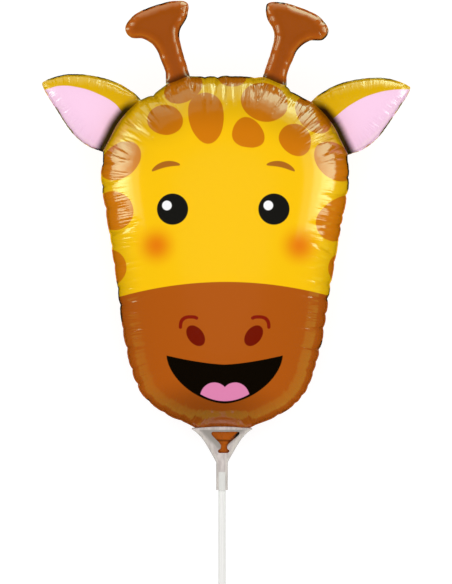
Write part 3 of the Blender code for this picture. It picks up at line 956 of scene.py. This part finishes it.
def brow_mask(tree, plane, side):
    """A crescent that arches over an eye and tapers to its ends."""
    centre = (FACE_MIDDLE + side * (BROW_CENTRE[0] - FACE_MIDDLE), BROW_CENTRE[1])
    x, y, _ = split(tree, moved(tree, plane, centre, side * BROW_TURN))
    share = calc(tree, "DIVIDE", x, BROW_HALF_LENGTH)
    bow = calc(tree, "SUBTRACT", 1.0, calc(tree, "MULTIPLY", share, share))
    middle = calc(tree, "MULTIPLY", bow, BROW_ARCH)
    round_end = calc(tree, "SQRT", calc(tree, "MAXIMUM", bow, 0.0))
    reach = calc(tree, "MULTIPLY", round_end, BROW_HALF_THICKNESS)
    away = calc(tree, "ABSOLUTE", calc(tree, "SUBTRACT", y, middle))
    return both(tree, below(tree, away, reach), ramp(tree, bow, 0.0, BROW_TIP))


def nostril_masks(tree, plane, centre, side):
    """A nostril's slanting oval, and the line with round ends that arches over it."""
    hole = oval(tree, plane, centre, NOSTRIL_HALF_SIZE, side * NOSTRIL_TURN)
    middle = (centre[0] - side * NOSTRIL_LINE_CENTRE[0], centre[1] + NOSTRIL_LINE_CENTRE[1])
    x, y, _ = split(tree, moved(tree, plane, middle, 0, (side, 1, 1)))
    powers = [
        calc(tree, "POWER", calc(tree, "ABSOLUTE", value), NOSTRIL_LINE_ROUNDNESS)
        for value in (x, y)
    ]
    r = calc(tree, "POWER", calc(tree, "ADD", *powers), 1 / NOSTRIL_LINE_ROUNDNESS)
    away = calc(tree, "ABSOLUTE", calc(tree, "SUBTRACT", r, NOSTRIL_LINE_RADIUS))
    line = below(tree, away, NOSTRIL_LINE_WIDTH / 2)
    line = both(tree, line, ramp(tree, y, -SHARP, SHARP))
    line = both(tree, line, below(tree, x, NOSTRIL_LINE_END[0]))
    ends = [
        oval(tree, plane, (middle[0] + side * across, middle[1] + up), [NOSTRIL_LINE_WIDTH / 2] * 2)
        for across, up in ((-NOSTRIL_LINE_RADIUS, 0.0), NOSTRIL_LINE_END)
    ]
    return hole, either(tree, line, *ends)


def mouth_mask(tree, plane):
    """A wide grin: a rounded bowl below a sagging upper lip."""
    x, y, _ = split(tree, moved(tree, plane, MOUTH_MIDDLE))
    across = calc(tree, "ABSOLUTE", calc(tree, "DIVIDE", x, MOUTH_HALF_WIDTH))
    down = calc(tree, "MAXIMUM", calc(tree, "DIVIDE", y, -MOUTH_DEPTH), 0.0)
    r = calc(tree, "ADD", *(calc(tree, "POWER", value, MOUTH_ROUNDNESS) for value in (across, down)))
    edge = SHARP * MOUTH_ROUNDNESS / MOUTH_DEPTH
    bowl = ramp(tree, r, 1 - edge, 1 + edge, 1.0, 0.0)
    lip = calc(tree, "MULTIPLY_ADD", calc(tree, "POWER", across, LIP_ROUNDNESS), LIP_SAG, -LIP_SAG)
    return both(tree, bowl, below(tree, y, lip))


def tongue_mask(tree, plane):
    """Two round lobes side by side, above the curve of the lower lip."""
    x, y, _ = split(tree, plane)
    lobes = either(tree, *(oval(tree, plane, c, TONGUE_HALF_SIZE) for c in TONGUE_CENTRES))
    bottom = parabola(tree, x, TONGUE_BOTTOM, -TONGUE_CURVE)
    return both(tree, lobes, ramp(tree, calc(tree, "SUBTRACT", y, bottom), -SHARP, SHARP))


def ear_border(tree, x):
    """The height of the border between the ear's gold and its pink."""
    share = ramp(tree, x, -EAR_SPAN, EAR_SPAN)
    share.node.interpolation_type = "LINEAR"
    curve = tree.nodes.new("ShaderNodeFloatCurve")
    tree.links.new(share, curve.inputs["Value"])
    line = curve.mapping.curves[0]
    spots = [((across + EAR_SPAN) / (2 * EAR_SPAN), up / EAR_SPAN) for across, up in EAR_BORDER]
    line.points[0].location = spots[0]
    line.points[1].location = spots[-1]
    for spot in spots[1:-1]:
        line.points.new(*spot)
    curve.mapping.update()
    return calc(tree, "MULTIPLY", curve.outputs["Value"], EAR_SPAN)


def printed_design(tree):
    """The colour of the print at each place of the foil, with painted shade at the folds, on the crown,
    the sides and the chin, on the neck and along the seam.
    """
    plane = face_plane(tree)
    x, y, z = split(tree, plane)
    from_seam, horn, ear = (value_on(tree, name) for name in ("from_seam", "horn", "ear"))
    front = ramp(tree, z, -SHARP, SHARP)
    # Painted shade darkens the crown
    crown = both(tree, ramp(tree, from_seam, *CROWN_SHADE_REACH), ramp(tree, y, *CROWN_SHADE_SPAN))

    wander = noise(tree, plane, PATCH_WAVER_SCALE).outputs["Color"]
    waver = tree.nodes.new("ShaderNodeVectorMath")
    waver.operation = "MULTIPLY_ADD"
    tree.links.new(wander, waver.inputs[0])
    waver.inputs[1].default_value = (PATCH_WAVER, PATCH_WAVER, 0)
    tree.links.new(plane, waver.inputs[2])
    loose = moved(tree, waver.outputs["Vector"], (PATCH_WAVER / 2, PATCH_WAVER / 2))
    patches = either(tree, *(oval(tree, loose, *patch) for patch in PATCHES))

    # Painted shade darkens the yellow towards the seam, and the crown's yellow and patches
    side = both(tree, ramp(tree, from_seam, *SIDE_SHADE_REACH), SIDE_SHADE_DEPTH)
    yellow = blend_colour(tree, either(tree, crown, side), ink(YELLOW), ink(PAINTED_SHADE_YELLOW))
    patch_brown = blend_colour(tree, crown, ink(SPOT_BROWN), ink(PAINTED_SHADE_SPOT_BROWN))
    colour = blend_colour(tree, patches, yellow, patch_brown)
    blush = either(tree, *(
        oval(tree, plane, centre, (BLUSH_RADIUS / 2, BLUSH_RADIUS / 2), soft=BLUSH_RADIUS / 2)
        for centre in BLUSH_CENTRES
    ))
    colour = blend_colour(tree, both(tree, blush, front), colour, ink(BLUSH_ORANGE))
    muzzle = below(tree, y, parabola(tree, x, MUZZLE_TOP, MUZZLE_CURVE))
    # Painted shade darkens the muzzle's brown on the chin
    chin = oval(tree, plane, CHIN_SHADE_CENTRE, CHIN_SHADE_HALF_SIZE, soft=CHIN_SHADE_SOFTNESS)
    muzzle_brown = blend_colour(tree, chin, ink(MUZZLE_BROWN), ink(CHIN_SHADE_BROWN))
    colour = blend_colour(tree, muzzle, colour, muzzle_brown)

    pink = both(tree, below(tree, y, ear_border(tree, x)), front)
    ear_colour = blend_colour(tree, pink, ink(EAR_GOLD), ink(EAR_PINK))
    colour = blend_colour(tree, ear, colour, ear_colour)
    horn_rim = ramp(tree, from_seam, *HORN_RIM)
    horn_brown = blend_colour(tree, horn_rim, ink(HORN_BROWN), ink(EDGE_HORN_BROWN))
    colour = blend_colour(tree, horn, colour, horn_brown)

    brows = either(tree, brow_mask(tree, plane, 1), brow_mask(tree, plane, -1))
    eyes = either(tree, *(oval(tree, plane, c, (EYE_RADIUS, EYE_RADIUS)) for c in EYE_CENTRES))
    glints = either(tree, *(
        oval(tree, plane, (c[0] + GLINT_OFFSET[0], c[1] + GLINT_OFFSET[1]), (GLINT_RADIUS, GLINT_RADIUS))
        for c in EYE_CENTRES
    ))
    holes, lines = zip(*(
        nostril_masks(tree, plane, centre, side) for centre, side in zip(NOSTRIL_CENTRES, (1, -1))
    ))
    for mask, paint in (
        (brows, BROW_BROWN), (eyes, EYE_BLACK), (glints, EYE_WHITE), (either(tree, *holes), NOSTRIL_RED),
        (either(tree, *lines), NOSTRIL_LINE_RED), (mouth_mask(tree, plane), MOUTH_BLACK),
        (tongue_mask(tree, plane), TONGUE_PINK),
    ):
        colour = blend_colour(tree, both(tree, mask, front), colour, ink(paint))

    # Painted shade: the ears and horns darken close to their folds, and the neck in the cup's window at
    # its crease and fold
    fold_gap = value_on(tree, "from_fold")
    ear_shade = both(tree, ramp(tree, fold_gap, *EAR_SHADE_REACH), ramp(tree, y, *EAR_SHADE_SPAN))
    horn_shade = both(tree, ramp(tree, fold_gap, *HORN_SHADE_REACH), HORN_SHADE_DEPTH)
    shade = either(tree, both(tree, ear, ear_shade), both(tree, horn, horn_shade))
    neck_crease_shade = both(tree, oval(tree, plane, *NECK_CREASE_SHADE), NECK_CREASE_SHADE_DEPTH)
    neck_shade = either(tree, neck_crease_shade, oval(tree, plane, *NECK_FOLD_SHADE, soft=NECK_FOLD_SHADE_SOFTNESS))
    colour = blend_colour(tree, either(tree, shade, neck_shade), colour, ink(PAINTED_SHADE_BLACK))

    # Painted shade along the seam: patchy olive and black lines, and black stretches
    patchy = noise(tree, plane, LINE_SCALE, LINE_DETAIL).outputs["Fac"]
    olive_shade = both(tree, ramp(tree, from_seam, *OLIVE_LINE), ramp(tree, patchy, *OLIVE_SHOWS))
    olive_shade = both(tree, olive_shade, both(tree, ramp(tree, y, *OLIVE_SPAN), ramp(tree, horn, 1.0, 0.0)))
    on_edge = ramp(tree, calc(tree, "ABSOLUTE", z), *SEAM_LINE_HEIGHT)
    colour = blend_colour(tree, both(tree, olive_shade, on_edge), colour, ink(SEAM_SHADE_OLIVE))
    black_shade = both(tree, ramp(tree, from_seam, *BLACK_LINE), ramp(tree, patchy, *BLACK_SHOWS))
    stretches = either(tree, *(
        oval(tree, plane, *stretch, soft=STRETCH_SOFTNESS) for stretch in SHADED_SEAM_STRETCHES
    ))
    near = both(
        tree, ramp(tree, from_seam, *STRETCH_LINE),
        ramp(tree, calc(tree, "ABSOLUTE", z), *STRETCH_HEIGHT),
    )
    lines = either(tree, both(tree, black_shade, on_edge), both(tree, stretches, near))
    return blend_colour(tree, lines, colour, ink(SEAM_SHADE_BLACK))


# How close the pleats stand, how much longer than wide they are, and their relief
PLEATS_PER_MM = 0.70
PLEAT_STRETCH = 14
PLEAT_HEIGHT = 0.0009
PLEAT_STRENGTH = 0.7
PLEAT_DETAIL = 1.0
# Where the pleats fade, in millimetres from the edge, and how they come and go along it
PLEAT_FADE = (26.0, 5.0)
PLEAT_START = (0.5, 2.0)
PLEAT_ROOM = (0.85, 0.45)
PLEAT_GROUPS = 0.09
PLEAT_GROUP_RANGE = (0.35, 0.62)
PLEAT_LEAST = 0.35
HORN_PLEATS = 0.15
# The cheeks are smooth above the muzzle: that stretch's middle, how far it goes, and what is left
SMOOTH_MIDDLE = -16.0
SMOOTH_REACH = (17.0, 30.0)
SMOOTH_LEFT = 0.25


def crinkle_height(tree):
    """Fine pleats that run in from the welded edge, finer than the foil's own mesh."""
    along, away = value_on(tree, "along_edge"), value_on(tree, "from_edge")
    strip = tree.nodes.new("ShaderNodeCombineXYZ")
    tree.links.new(calc(tree, "MULTIPLY", along, PLEATS_PER_MM), strip.inputs["X"])
    tree.links.new(calc(tree, "MULTIPLY", away, PLEATS_PER_MM / PLEAT_STRETCH), strip.inputs["Y"])
    height = noise(tree, strip.outputs["Vector"], 1.0, PLEAT_DETAIL).outputs["Fac"]
    groups = noise(tree, strip.outputs["Vector"], PLEAT_GROUPS, PLEAT_DETAIL).outputs["Fac"]
    up = split(tree, face_plane(tree))[1]
    from_smooth = calc(tree, "ABSOLUTE", calc(tree, "SUBTRACT", up, SMOOTH_MIDDLE))
    for share in (
        ramp(tree, from_smooth, *SMOOTH_REACH, SMOOTH_LEFT, 1.0),
        ramp(tree, away, *PLEAT_FADE),
        ramp(tree, away, *PLEAT_START),
        ramp(tree, value_on(tree, "room_share"), *PLEAT_ROOM),
        ramp(tree, groups, *PLEAT_GROUP_RANGE, PLEAT_LEAST, 1.0),
        ramp(tree, value_on(tree, "horn"), 0.0, 1.0, 1.0, HORN_PLEATS),
    ):
        height = both(tree, height, share)
    return height


def new_material(name, finish):
    """A material with the given finish, and with its node tree and its shader."""
    material = bpy.data.materials.new(name)
    material.use_nodes = True
    shader = material.node_tree.nodes["Principled BSDF"]
    for socket, value in finish.items():
        shader.inputs[socket].default_value = value
    return material, material.node_tree, shader


def emboss(tree, shader, height, depth, strength, sockets=("Normal",)):
    """Gives the shader the relief of a height."""
    relief = tree.nodes.new("ShaderNodeBump")
    relief.inputs["Distance"].default_value = depth
    relief.inputs["Strength"].default_value = strength
    tree.links.new(height, relief.inputs["Height"])
    for socket in sockets:
        tree.links.new(relief.outputs["Normal"], shader.inputs[socket])


# The print lies under a clear coat, which mirrors the lights
FILM_FINISH = {
    "Metallic": 0.03, "Roughness": 0.40, "Specular IOR Level": 0.0,
    "Coat Weight": 1.0, "Coat Roughness": 0.13, "Coat IOR": 1.65,
}
film, film_tree, film_shader = new_material("printed_film", FILM_FINISH)
film_tree.links.new(printed_design(film_tree), film_shader.inputs["Base Color"])
emboss(
    film_tree, film_shader, crinkle_height(film_tree), PLEAT_HEIGHT, PLEAT_STRENGTH,
    ("Normal", "Coat Normal"),
)
foil.data.materials.append(film)

# Holder cup
# One moulding of milky plastic: a flattened funnel that grips the balloon's neck, with a
# keyhole window in its front and its back, above a round socket that holds the stick.
CUP_MOUTH_HALF_WIDTH = 0.0218
CUP_MOUTH_HALF_DEPTH = 0.0095
# The mouth's edge arches up in its middle, and the wall just below it follows
CUP_MOUTH_ARCH = 0.0018
CUP_MOUTH_ARCH_REACH = 0.0070
FUNNEL_HEIGHT = 0.0235
# The funnel widens evenly, and its last share flares out to the mouth
FUNNEL_SLOPE = 0.75
LIP_POWER = 6.0
FUNNEL_RINGS = 20
# The power of the section's curve: 2 is round, and less is pointed at both sides as a lens is
LENS_POWER = 1.45
ROUND_POWER = 2.0
SOCKET_RADIUS = 0.00415
SOCKET_HEIGHT = 0.0200
CUP_WALL = 0.00115
CUP_SIDES = 112
CUP_EDGE = 0.00022
# Edges sharper than this, in degrees, are rounded
EDGE_ANGLE = 50
EDGE_SEGMENTS = 2
# Corners this near to a height are on its ring, and corners this near to each other are one
RING_TOLERANCE = 1e-5
WELD_GAP = 1e-6
WINDOW_DROP = 0.0018
WINDOW_TOP = CUP_MOUTH_Y - WINDOW_DROP
# The window from its top down: half its width, and millimetres below its top
WINDOW_HALF = [
    (9.0, 0.0), (9.9, 0.4), (10.1, 1.2), (9.6, 2.3), (8.3, 3.7), (6.3, 5.5), (4.3, 7.3), (2.9, 8.8),
    (2.3, 10.0), (2.3, 11.4), (2.6, 12.3), (3.3, 12.8), (4.0, 13.2), (4.1, 14.0), (3.6, 14.8),
    (2.9, 15.2),
]
# Its middle lies to one side at the top and comes back towards the socket
WINDOW_SIDE = 2.6
WINDOW_RETURN = 0.105
SOCKET_TOP_Y = CUP_MOUTH_Y - FUNNEL_HEIGHT
PLASTIC_GREY = (206, 196, 192)
PLASTIC_PALE = (232, 222, 217)
# The plastic's milky streaks run up the cup: their scale, detail, stretch and contrast
FLOW_SCALE = 0.45
FLOW_DETAIL = 3.0
FLOW_STRETCH = 5.0
FLOW_SHOWS = (0.35, 0.65)
# Painted shade: where the flat neck lies close behind the funnel's wall, the plastic's colour is grey
NECK_SHADE_GREY = (172, 166, 159)
NECK_SHADE_HALF_WIDTH = 16.5
NECK_SHADE_EDGE = 2.0
RIM_PALE_WIDTH = 0.9
MILKY_FINISH = {"Alpha": 0.72, "Roughness": 0.35, "Coat Weight": 0.5, "Coat Roughness": 0.15}
SKIN_SCALE = 1.6
SKIN_DEPTH = 0.00004
SKIN_STRENGTH = 0.5
# A painted glow where the stick shows through the socket's wall: millimetres below the mouth, and half
# its width
TUBE_GLOW = (240, 239, 234)
TUBE_GLOW_TOP = (30.2, 30.9)
TUBE_GLOW_HALF_WIDTH = (2.7, 2.2)


def funnel_section(y):
    """Half width, half depth and curve power of the cup's outside at a height."""
    up = min(max((y - SOCKET_TOP_Y) / FUNNEL_HEIGHT, 0.0), 1.0)
    widened = FUNNEL_SLOPE * up + (1 - FUNNEL_SLOPE) * up**LIP_POWER
    deepened = math.sin(up * math.pi / 2)
    half_width = SOCKET_RADIUS + (CUP_MOUTH_HALF_WIDTH - SOCKET_RADIUS) * widened
    half_depth = SOCKET_RADIUS + (CUP_MOUTH_HALF_DEPTH - SOCKET_RADIUS) * deepened
    return half_width, half_depth, ROUND_POWER + (LENS_POWER - ROUND_POWER) * up


def open_tube(name, sides, radius, top_y, length):
    """A thin open tube along the stick's axis, down from a height."""
    bpy.ops.object.select_all(action="DESELECT")
    bpy.ops.mesh.primitive_cylinder_add(
        vertices=sides, radius=radius, depth=length, end_fill_type="NOTHING",
        location=(0, top_y - length / 2, 0), rotation=(-math.pi / 2, 0, 0),
    )
    piece = bpy.context.object
    piece.name = name
    bpy.ops.object.transform_apply(location=True, rotation=True, scale=True)
    return piece


def mould_cup():
    """A round socket, drawn up ring by ring into the flat funnel and given its wall."""
    cup = open_tube("moulded_cup", CUP_SIDES, SOCKET_RADIUS, SOCKET_TOP_Y, SOCKET_HEIGHT)
    select_ring(cup, SOCKET_TOP_Y)
    step = FUNNEL_HEIGHT / FUNNEL_RINGS
    for ring in range(FUNNEL_RINGS):
        below_size = funnel_section(SOCKET_TOP_Y + ring * step)
        size = funnel_section(SOCKET_TOP_Y + (ring + 1) * step)
        bpy.ops.mesh.extrude_region_move(TRANSFORM_OT_translate={"value": (0, step, 0)})
        bpy.ops.transform.resize(value=(size[0] / below_size[0], 1, size[1] / below_size[1]))
    bpy.ops.object.mode_set(mode="OBJECT")
    for vertex in cup.data.vertices:
        flatten_to_lens(vertex)
    add_wall(cup, CUP_WALL)
    return cup


def select_ring(piece, y):
    """Enters edit mode with only the edges of the ring at a height selected."""
    bpy.ops.object.mode_set(mode="EDIT")
    bpy.ops.mesh.select_mode(type="EDGE")
    bpy.ops.mesh.select_all(action="DESELECT")
    bpy.ops.object.mode_set(mode="OBJECT")
    corners = piece.data.vertices
    for edge in piece.data.edges:
        edge.select = all(abs(corners[v].co.y - y) < RING_TOLERANCE for v in edge.vertices)
    bpy.ops.object.mode_set(mode="EDIT")


def flatten_to_lens(vertex):
    """Moves a corner of the elliptical funnel onto its lens section and arched mouth."""
    x, y, z = vertex.co
    a, b, power = funnel_section(y)
    c, s = min(max(x / a, -1), 1), min(max(z / b, -1), 1)
    vertex.co.x = a * math.copysign(abs(c) ** (2 / power), c)
    vertex.co.z = b * math.copysign(abs(s) ** (2 / power), s)
    arch = CUP_MOUTH_ARCH * max(0.0, 1 - (CUP_MOUTH_Y - y) / CUP_MOUTH_ARCH_REACH)
    vertex.co.y = y + arch * (1 - (vertex.co.x / a) ** 2)


def add_wall(piece, thickness):
    """Gives a thin shape its wall, inwards from its outside."""
    wall = piece.modifiers.new("wall", "SOLIDIFY")
    wall.thickness = thickness
    wall.offset = -1
    bpy.ops.object.modifier_apply(modifier=wall.name)


def window_punch():
    """A keyhole-shaped punch that passes through the funnel's front and back."""
    halves = WINDOW_HALF + [(-half, down) for half, down in WINDOW_HALF[::-1]]
    outline = [
        (
            (half + WINDOW_SIDE - WINDOW_RETURN * down) / MM_PER_METRE,
            WINDOW_TOP - down / MM_PER_METRE,
        )
        for half, down in halves
    ]
    curve = bpy.data.curves.new("window_punch", "CURVE")
    curve.dimensions = "2D"
    curve.fill_mode = "BOTH"
    curve.extrude = 2 * CUP_MOUTH_HALF_DEPTH
    spline = curve.splines.new("POLY")
    spline.points.add(len(outline) - 1)
    for point, (x, y) in zip(spline.points, outline):
        point.co = (x, y, 0, 1)
    spline.use_cyclic_u = True
    punch = bpy.data.objects.new("window_punch", curve)
    bpy.context.scene.collection.objects.link(punch)
    make_only(punch)
    bpy.ops.object.convert(target="MESH")
    bpy.ops.object.mode_set(mode="EDIT")
    bpy.ops.mesh.select_all(action="SELECT")
    bpy.ops.mesh.remove_doubles(threshold=WELD_GAP)
    bpy.ops.mesh.normals_make_consistent(inside=False)
    bpy.ops.object.mode_set(mode="OBJECT")
    return punch


def make_only(piece):
    """Selects one piece alone and makes it the active one."""
    bpy.ops.object.select_all(action="DESELECT")
    piece.select_set(True)
    bpy.context.view_layer.objects.active = piece


def soften_edges(piece, width):
    """Rounds the sharp edges and smooths the rest."""
    bevel = piece.modifiers.new("soft_edges", "BEVEL")
    bevel.width = width
    bevel.segments = EDGE_SEGMENTS
    bevel.limit_method = "ANGLE"
    bevel.angle_limit = math.radians(EDGE_ANGLE)
    bpy.ops.object.modifier_apply(modifier=bevel.name)
    bpy.ops.object.shade_smooth_by_angle(angle=math.radians(EDGE_ANGLE))


cup = mould_cup()
punch = window_punch()
make_only(cup)
window = cup.modifiers.new("window", "BOOLEAN")
window.operation = "DIFFERENCE"
window.object = punch
bpy.ops.object.modifier_apply(modifier=window.name)
bpy.data.objects.remove(punch)
soften_edges(cup, CUP_EDGE)
cup.data.transform(LYING_POSE)

milky, milky_tree, milky_shader = new_material("milky_plastic", MILKY_FINISH)
milky_plane = face_plane(milky_tree)
drawn_out = moved(milky_tree, milky_plane, scale=(1.0, FLOW_STRETCH, 1.0))
flow = noise(milky_tree, drawn_out, FLOW_SCALE, FLOW_DETAIL).outputs["Fac"]
streaks = ramp(milky_tree, flow, *FLOW_SHOWS)
milky_colour = blend_colour(milky_tree, streaks, ink(PLASTIC_GREY), ink(PLASTIC_PALE))
milky_x, milky_y, _ = split(milky_tree, milky_plane)
under_mouth = calc(milky_tree, "SUBTRACT", MM_PER_METRE * CUP_MOUTH_Y, milky_y)
beside_neck = calc(milky_tree, "ADD", calc(milky_tree, "ABSOLUTE", milky_x), under_mouth)
neck_shade_edges = (NECK_SHADE_HALF_WIDTH + NECK_SHADE_EDGE, NECK_SHADE_HALF_WIDTH - NECK_SHADE_EDGE)
# Painted shade where the neck lies behind the funnel's wall, clear of the rim
behind = both(
    milky_tree, ramp(milky_tree, beside_neck, *neck_shade_edges),
    ramp(milky_tree, under_mouth, 0.0, RIM_PALE_WIDTH),
)
milky_colour = blend_colour(milky_tree, behind, milky_colour, ink(NECK_SHADE_GREY))
# Painted light: the socket's wall is paler where the stick shows through it
glow = both(
    milky_tree, ramp(milky_tree, under_mouth, *TUBE_GLOW_TOP),
    ramp(milky_tree, calc(milky_tree, "ABSOLUTE", milky_x), *TUBE_GLOW_HALF_WIDTH),
)
milky_colour = blend_colour(milky_tree, glow, milky_colour, ink(TUBE_GLOW))
milky_tree.links.new(milky_colour, milky_shader.inputs["Base Color"])
skin = noise(milky_tree, milky_plane, SKIN_SCALE).outputs["Fac"]
emboss(milky_tree, milky_shader, skin, SKIN_DEPTH, SKIN_STRENGTH)
cup.data.materials.clear()
cup.data.materials.append(milky)
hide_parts("holder_cup")
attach(cup, "root")

# Stick
# A length of extruded white plastic tube, cut square, pushed up into the cup's socket.
STICK_RADIUS = 0.00255
STICK_WALL = 0.0007
STICK_LENGTH = 0.320
STICK_DROP = 0.0071
STICK_TOP_Y = SOCKET_TOP_Y - STICK_DROP
STICK_SIDES = 64
STICK_EDGE = 0.00012
TUBE_WHITE = (238, 237, 234)
TUBE_SHADE = (226, 225, 222)
TUBE_FINISH = {"Roughness": 0.38}
# Faint lines run along the tube, as it was drawn out
LINES_SCALE = 1.4
LINES_STRETCH = 60.0
LINES_SHOW = (0.35, 0.65)
LINES_DEPTH = 0.00003
LINES_STRENGTH = 0.5

tube = open_tube("white_tube", STICK_SIDES, STICK_RADIUS, STICK_TOP_Y, STICK_LENGTH)
add_wall(tube, STICK_WALL)
soften_edges(tube, STICK_EDGE)
tube.data.transform(LYING_POSE)

tube_white, tube_tree, tube_shader = new_material("white_tube_plastic", TUBE_FINISH)
tube_plane = moved(tube_tree, face_plane(tube_tree), scale=(1.0, LINES_STRETCH, 1.0))
drawn = noise(tube_tree, tube_plane, LINES_SCALE).outputs["Fac"]
tube_shade = ramp(tube_tree, drawn, *LINES_SHOW)
tube_colour = blend_colour(tube_tree, tube_shade, ink(TUBE_SHADE), ink(TUBE_WHITE))
tube_tree.links.new(tube_colour, tube_shader.inputs["Base Color"])
emboss(tube_tree, tube_shader, drawn, LINES_DEPTH, LINES_STRENGTH)
tube.data.materials.append(tube_white)
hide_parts("stick")
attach(tube, "root")

# Floor
# A plain white board, which lights the balloon's sides and which its film doesn't mirror.
FLOOR_DROP = 0.0004
FLOOR_SIZE = 6.0
BOARD_FINISH = {
    "Base Color": (0.25, 0.25, 0.25, 1), "Roughness": 0.9, "Specular IOR Level": 0.0,
    "Emission Color": (1, 1, 1, 1), "Emission Strength": 0.82,
}

bpy.ops.object.select_all(action="DESELECT")
bpy.ops.mesh.primitive_plane_add(size=FLOOR_SIZE, location=(0, 0, -FLOOR_DROP))
floor = bpy.context.object
floor.name = "floor"
board, _, _ = new_material("white_board", BOARD_FINISH)
floor.data.materials.append(board)
floor.visible_glossy = False
floor.visible_shadow = False

# Light
# An even sky and one large soft light above the face show the print's own colours. Soft
# boxes low beside the head and above its crown are mirrored in the film as highlights.
SKY_STRENGTH = 0.70
FACE_LIGHT_STRENGTH = 1.25
FACE_LIGHT_SPREAD = 70
PALE_BOX = (0.66, 1.0, 0.70)
TAN_BOX = (0.65, 1.0, 0.13)
BOX_AIM = (0.0, 0.05, 0.02)
BOX_DISTANCE = 0.62
# Each row of boxes: its name, the way it stands in degrees from the face's right, its width,
# its colour, and bands of it that each have a lower and an upper angle and a brightness
SOFT_BOXES = [
    ("left", 168, 0.37, PALE_BOX, [
        (-20, -10, 3.6), (-10, 4, 5.6), (4, 11, 4.4), (11, 17, 2.4), (17, 25, 1),
    ]),
    ("right", 10, 0.39, PALE_BOX, [(-10, 6, 5.0), (6, 14, 4.2), (14, 22, 2.4), (22, 32, 0.7)]),
    ("crown_right", 62, 0.38, PALE_BOX, [(-30, -10, 4.8), (-10, 4, 4.8), (4, 11, 2.0), (11, 20, 0.7)]),
    ("crown_middle", 84, 0.12, PALE_BOX, [(-30, 4, 1.3), (4, 11, 0.8)]),
    ("crown_left", 111, 0.46, PALE_BOX, [(-30, 4, 1.1), (4, 12, 0.8), (12, 24, 0.4)]),
    ("left_cheek", 222, 0.46, TAN_BOX, [(-28, -2, 0.40)]),
    ("chin", 270, 0.60, TAN_BOX, [(-28, -2, 0.48)]),
    ("right_cheek", 320, 0.52, TAN_BOX, [(-28, -2, 0.60)]),
]
world = bpy.data.worlds.new("studio")
bpy.context.scene.world = world
world.use_nodes = True
sky_tree = world.node_tree
sky = sky_tree.nodes["Background"]
seen = sky_tree.nodes.new("ShaderNodeLightPath").outputs["Is Camera Ray"]
feed(sky_tree, sky.inputs["Strength"], ramp(sky_tree, seen, 0.0, 1.0, SKY_STRENGTH, 1.0))
sky.inputs["Color"].default_value = (1, 1, 1, 1)
world.cycles_visibility.glossy = False

bpy.ops.object.light_add(type="SUN")
face_light = bpy.context.object
face_light.name = "face_light"
face_light.data.energy = FACE_LIGHT_STRENGTH
face_light.data.angle = math.radians(FACE_LIGHT_SPREAD)
face_light.matrix_world = LYING_POSE
face_light.visible_glossy = False

for name, way, width, colour, bands in SOFT_BOXES:
    across = Matrix.Rotation(math.radians(way), 4, "Z")
    for k, (low, high, brightness) in enumerate(bands):
        lift = Matrix.Rotation(-math.radians((low + high) / 2), 4, "Y")
        height = 2 * BOX_DISTANCE * math.tan(math.radians(high - low) / 2)
        middle = Vector(BOX_AIM) + across @ lift @ Vector((BOX_DISTANCE, 0, 0))
        bpy.ops.object.light_add(type="AREA")
        box = bpy.context.object
        box.name = f"{name}_box_{k}"
        box.data.shape = "RECTANGLE"
        box.data.size = width
        box.data.size_y = height
        box.data.energy = brightness * math.pi * width * height
        box.data.color = colour
        aim = (Vector(BOX_AIM) - middle).to_track_quat("-Z", "Y")
        box.matrix_world = LYING_POSE @ Matrix.Translation(middle) @ aim.to_matrix().to_4x4()
        box.visible_diffuse = False
        box.visible_camera = False

# Camera
# It looks straight down on the seam's plane from far away, as the photograph does.
PHOTO_CENTRE = (0.00286, -0.02956)
PHOTO_HEIGHT = 0.4170
CAMERA_DISTANCE = 9.0
SENSOR_HEIGHT = 24.0
CLIP_END = 40.0
camera_data = bpy.data.cameras.new("camera")
camera_data.sensor_fit = "VERTICAL"
camera_data.sensor_height = SENSOR_HEIGHT
camera_data.lens = SENSOR_HEIGHT * CAMERA_DISTANCE / PHOTO_HEIGHT
camera_data.clip_end = CLIP_END
camera = bpy.data.objects.new("camera", camera_data)
bpy.context.scene.collection.objects.link(camera)
camera.matrix_world = LYING_POSE @ Matrix.Translation((*PHOTO_CENTRE, CAMERA_DISTANCE))
bpy.context.scene.camera = camera
bpy.context.scene.view_settings.view_transform = "Standard"
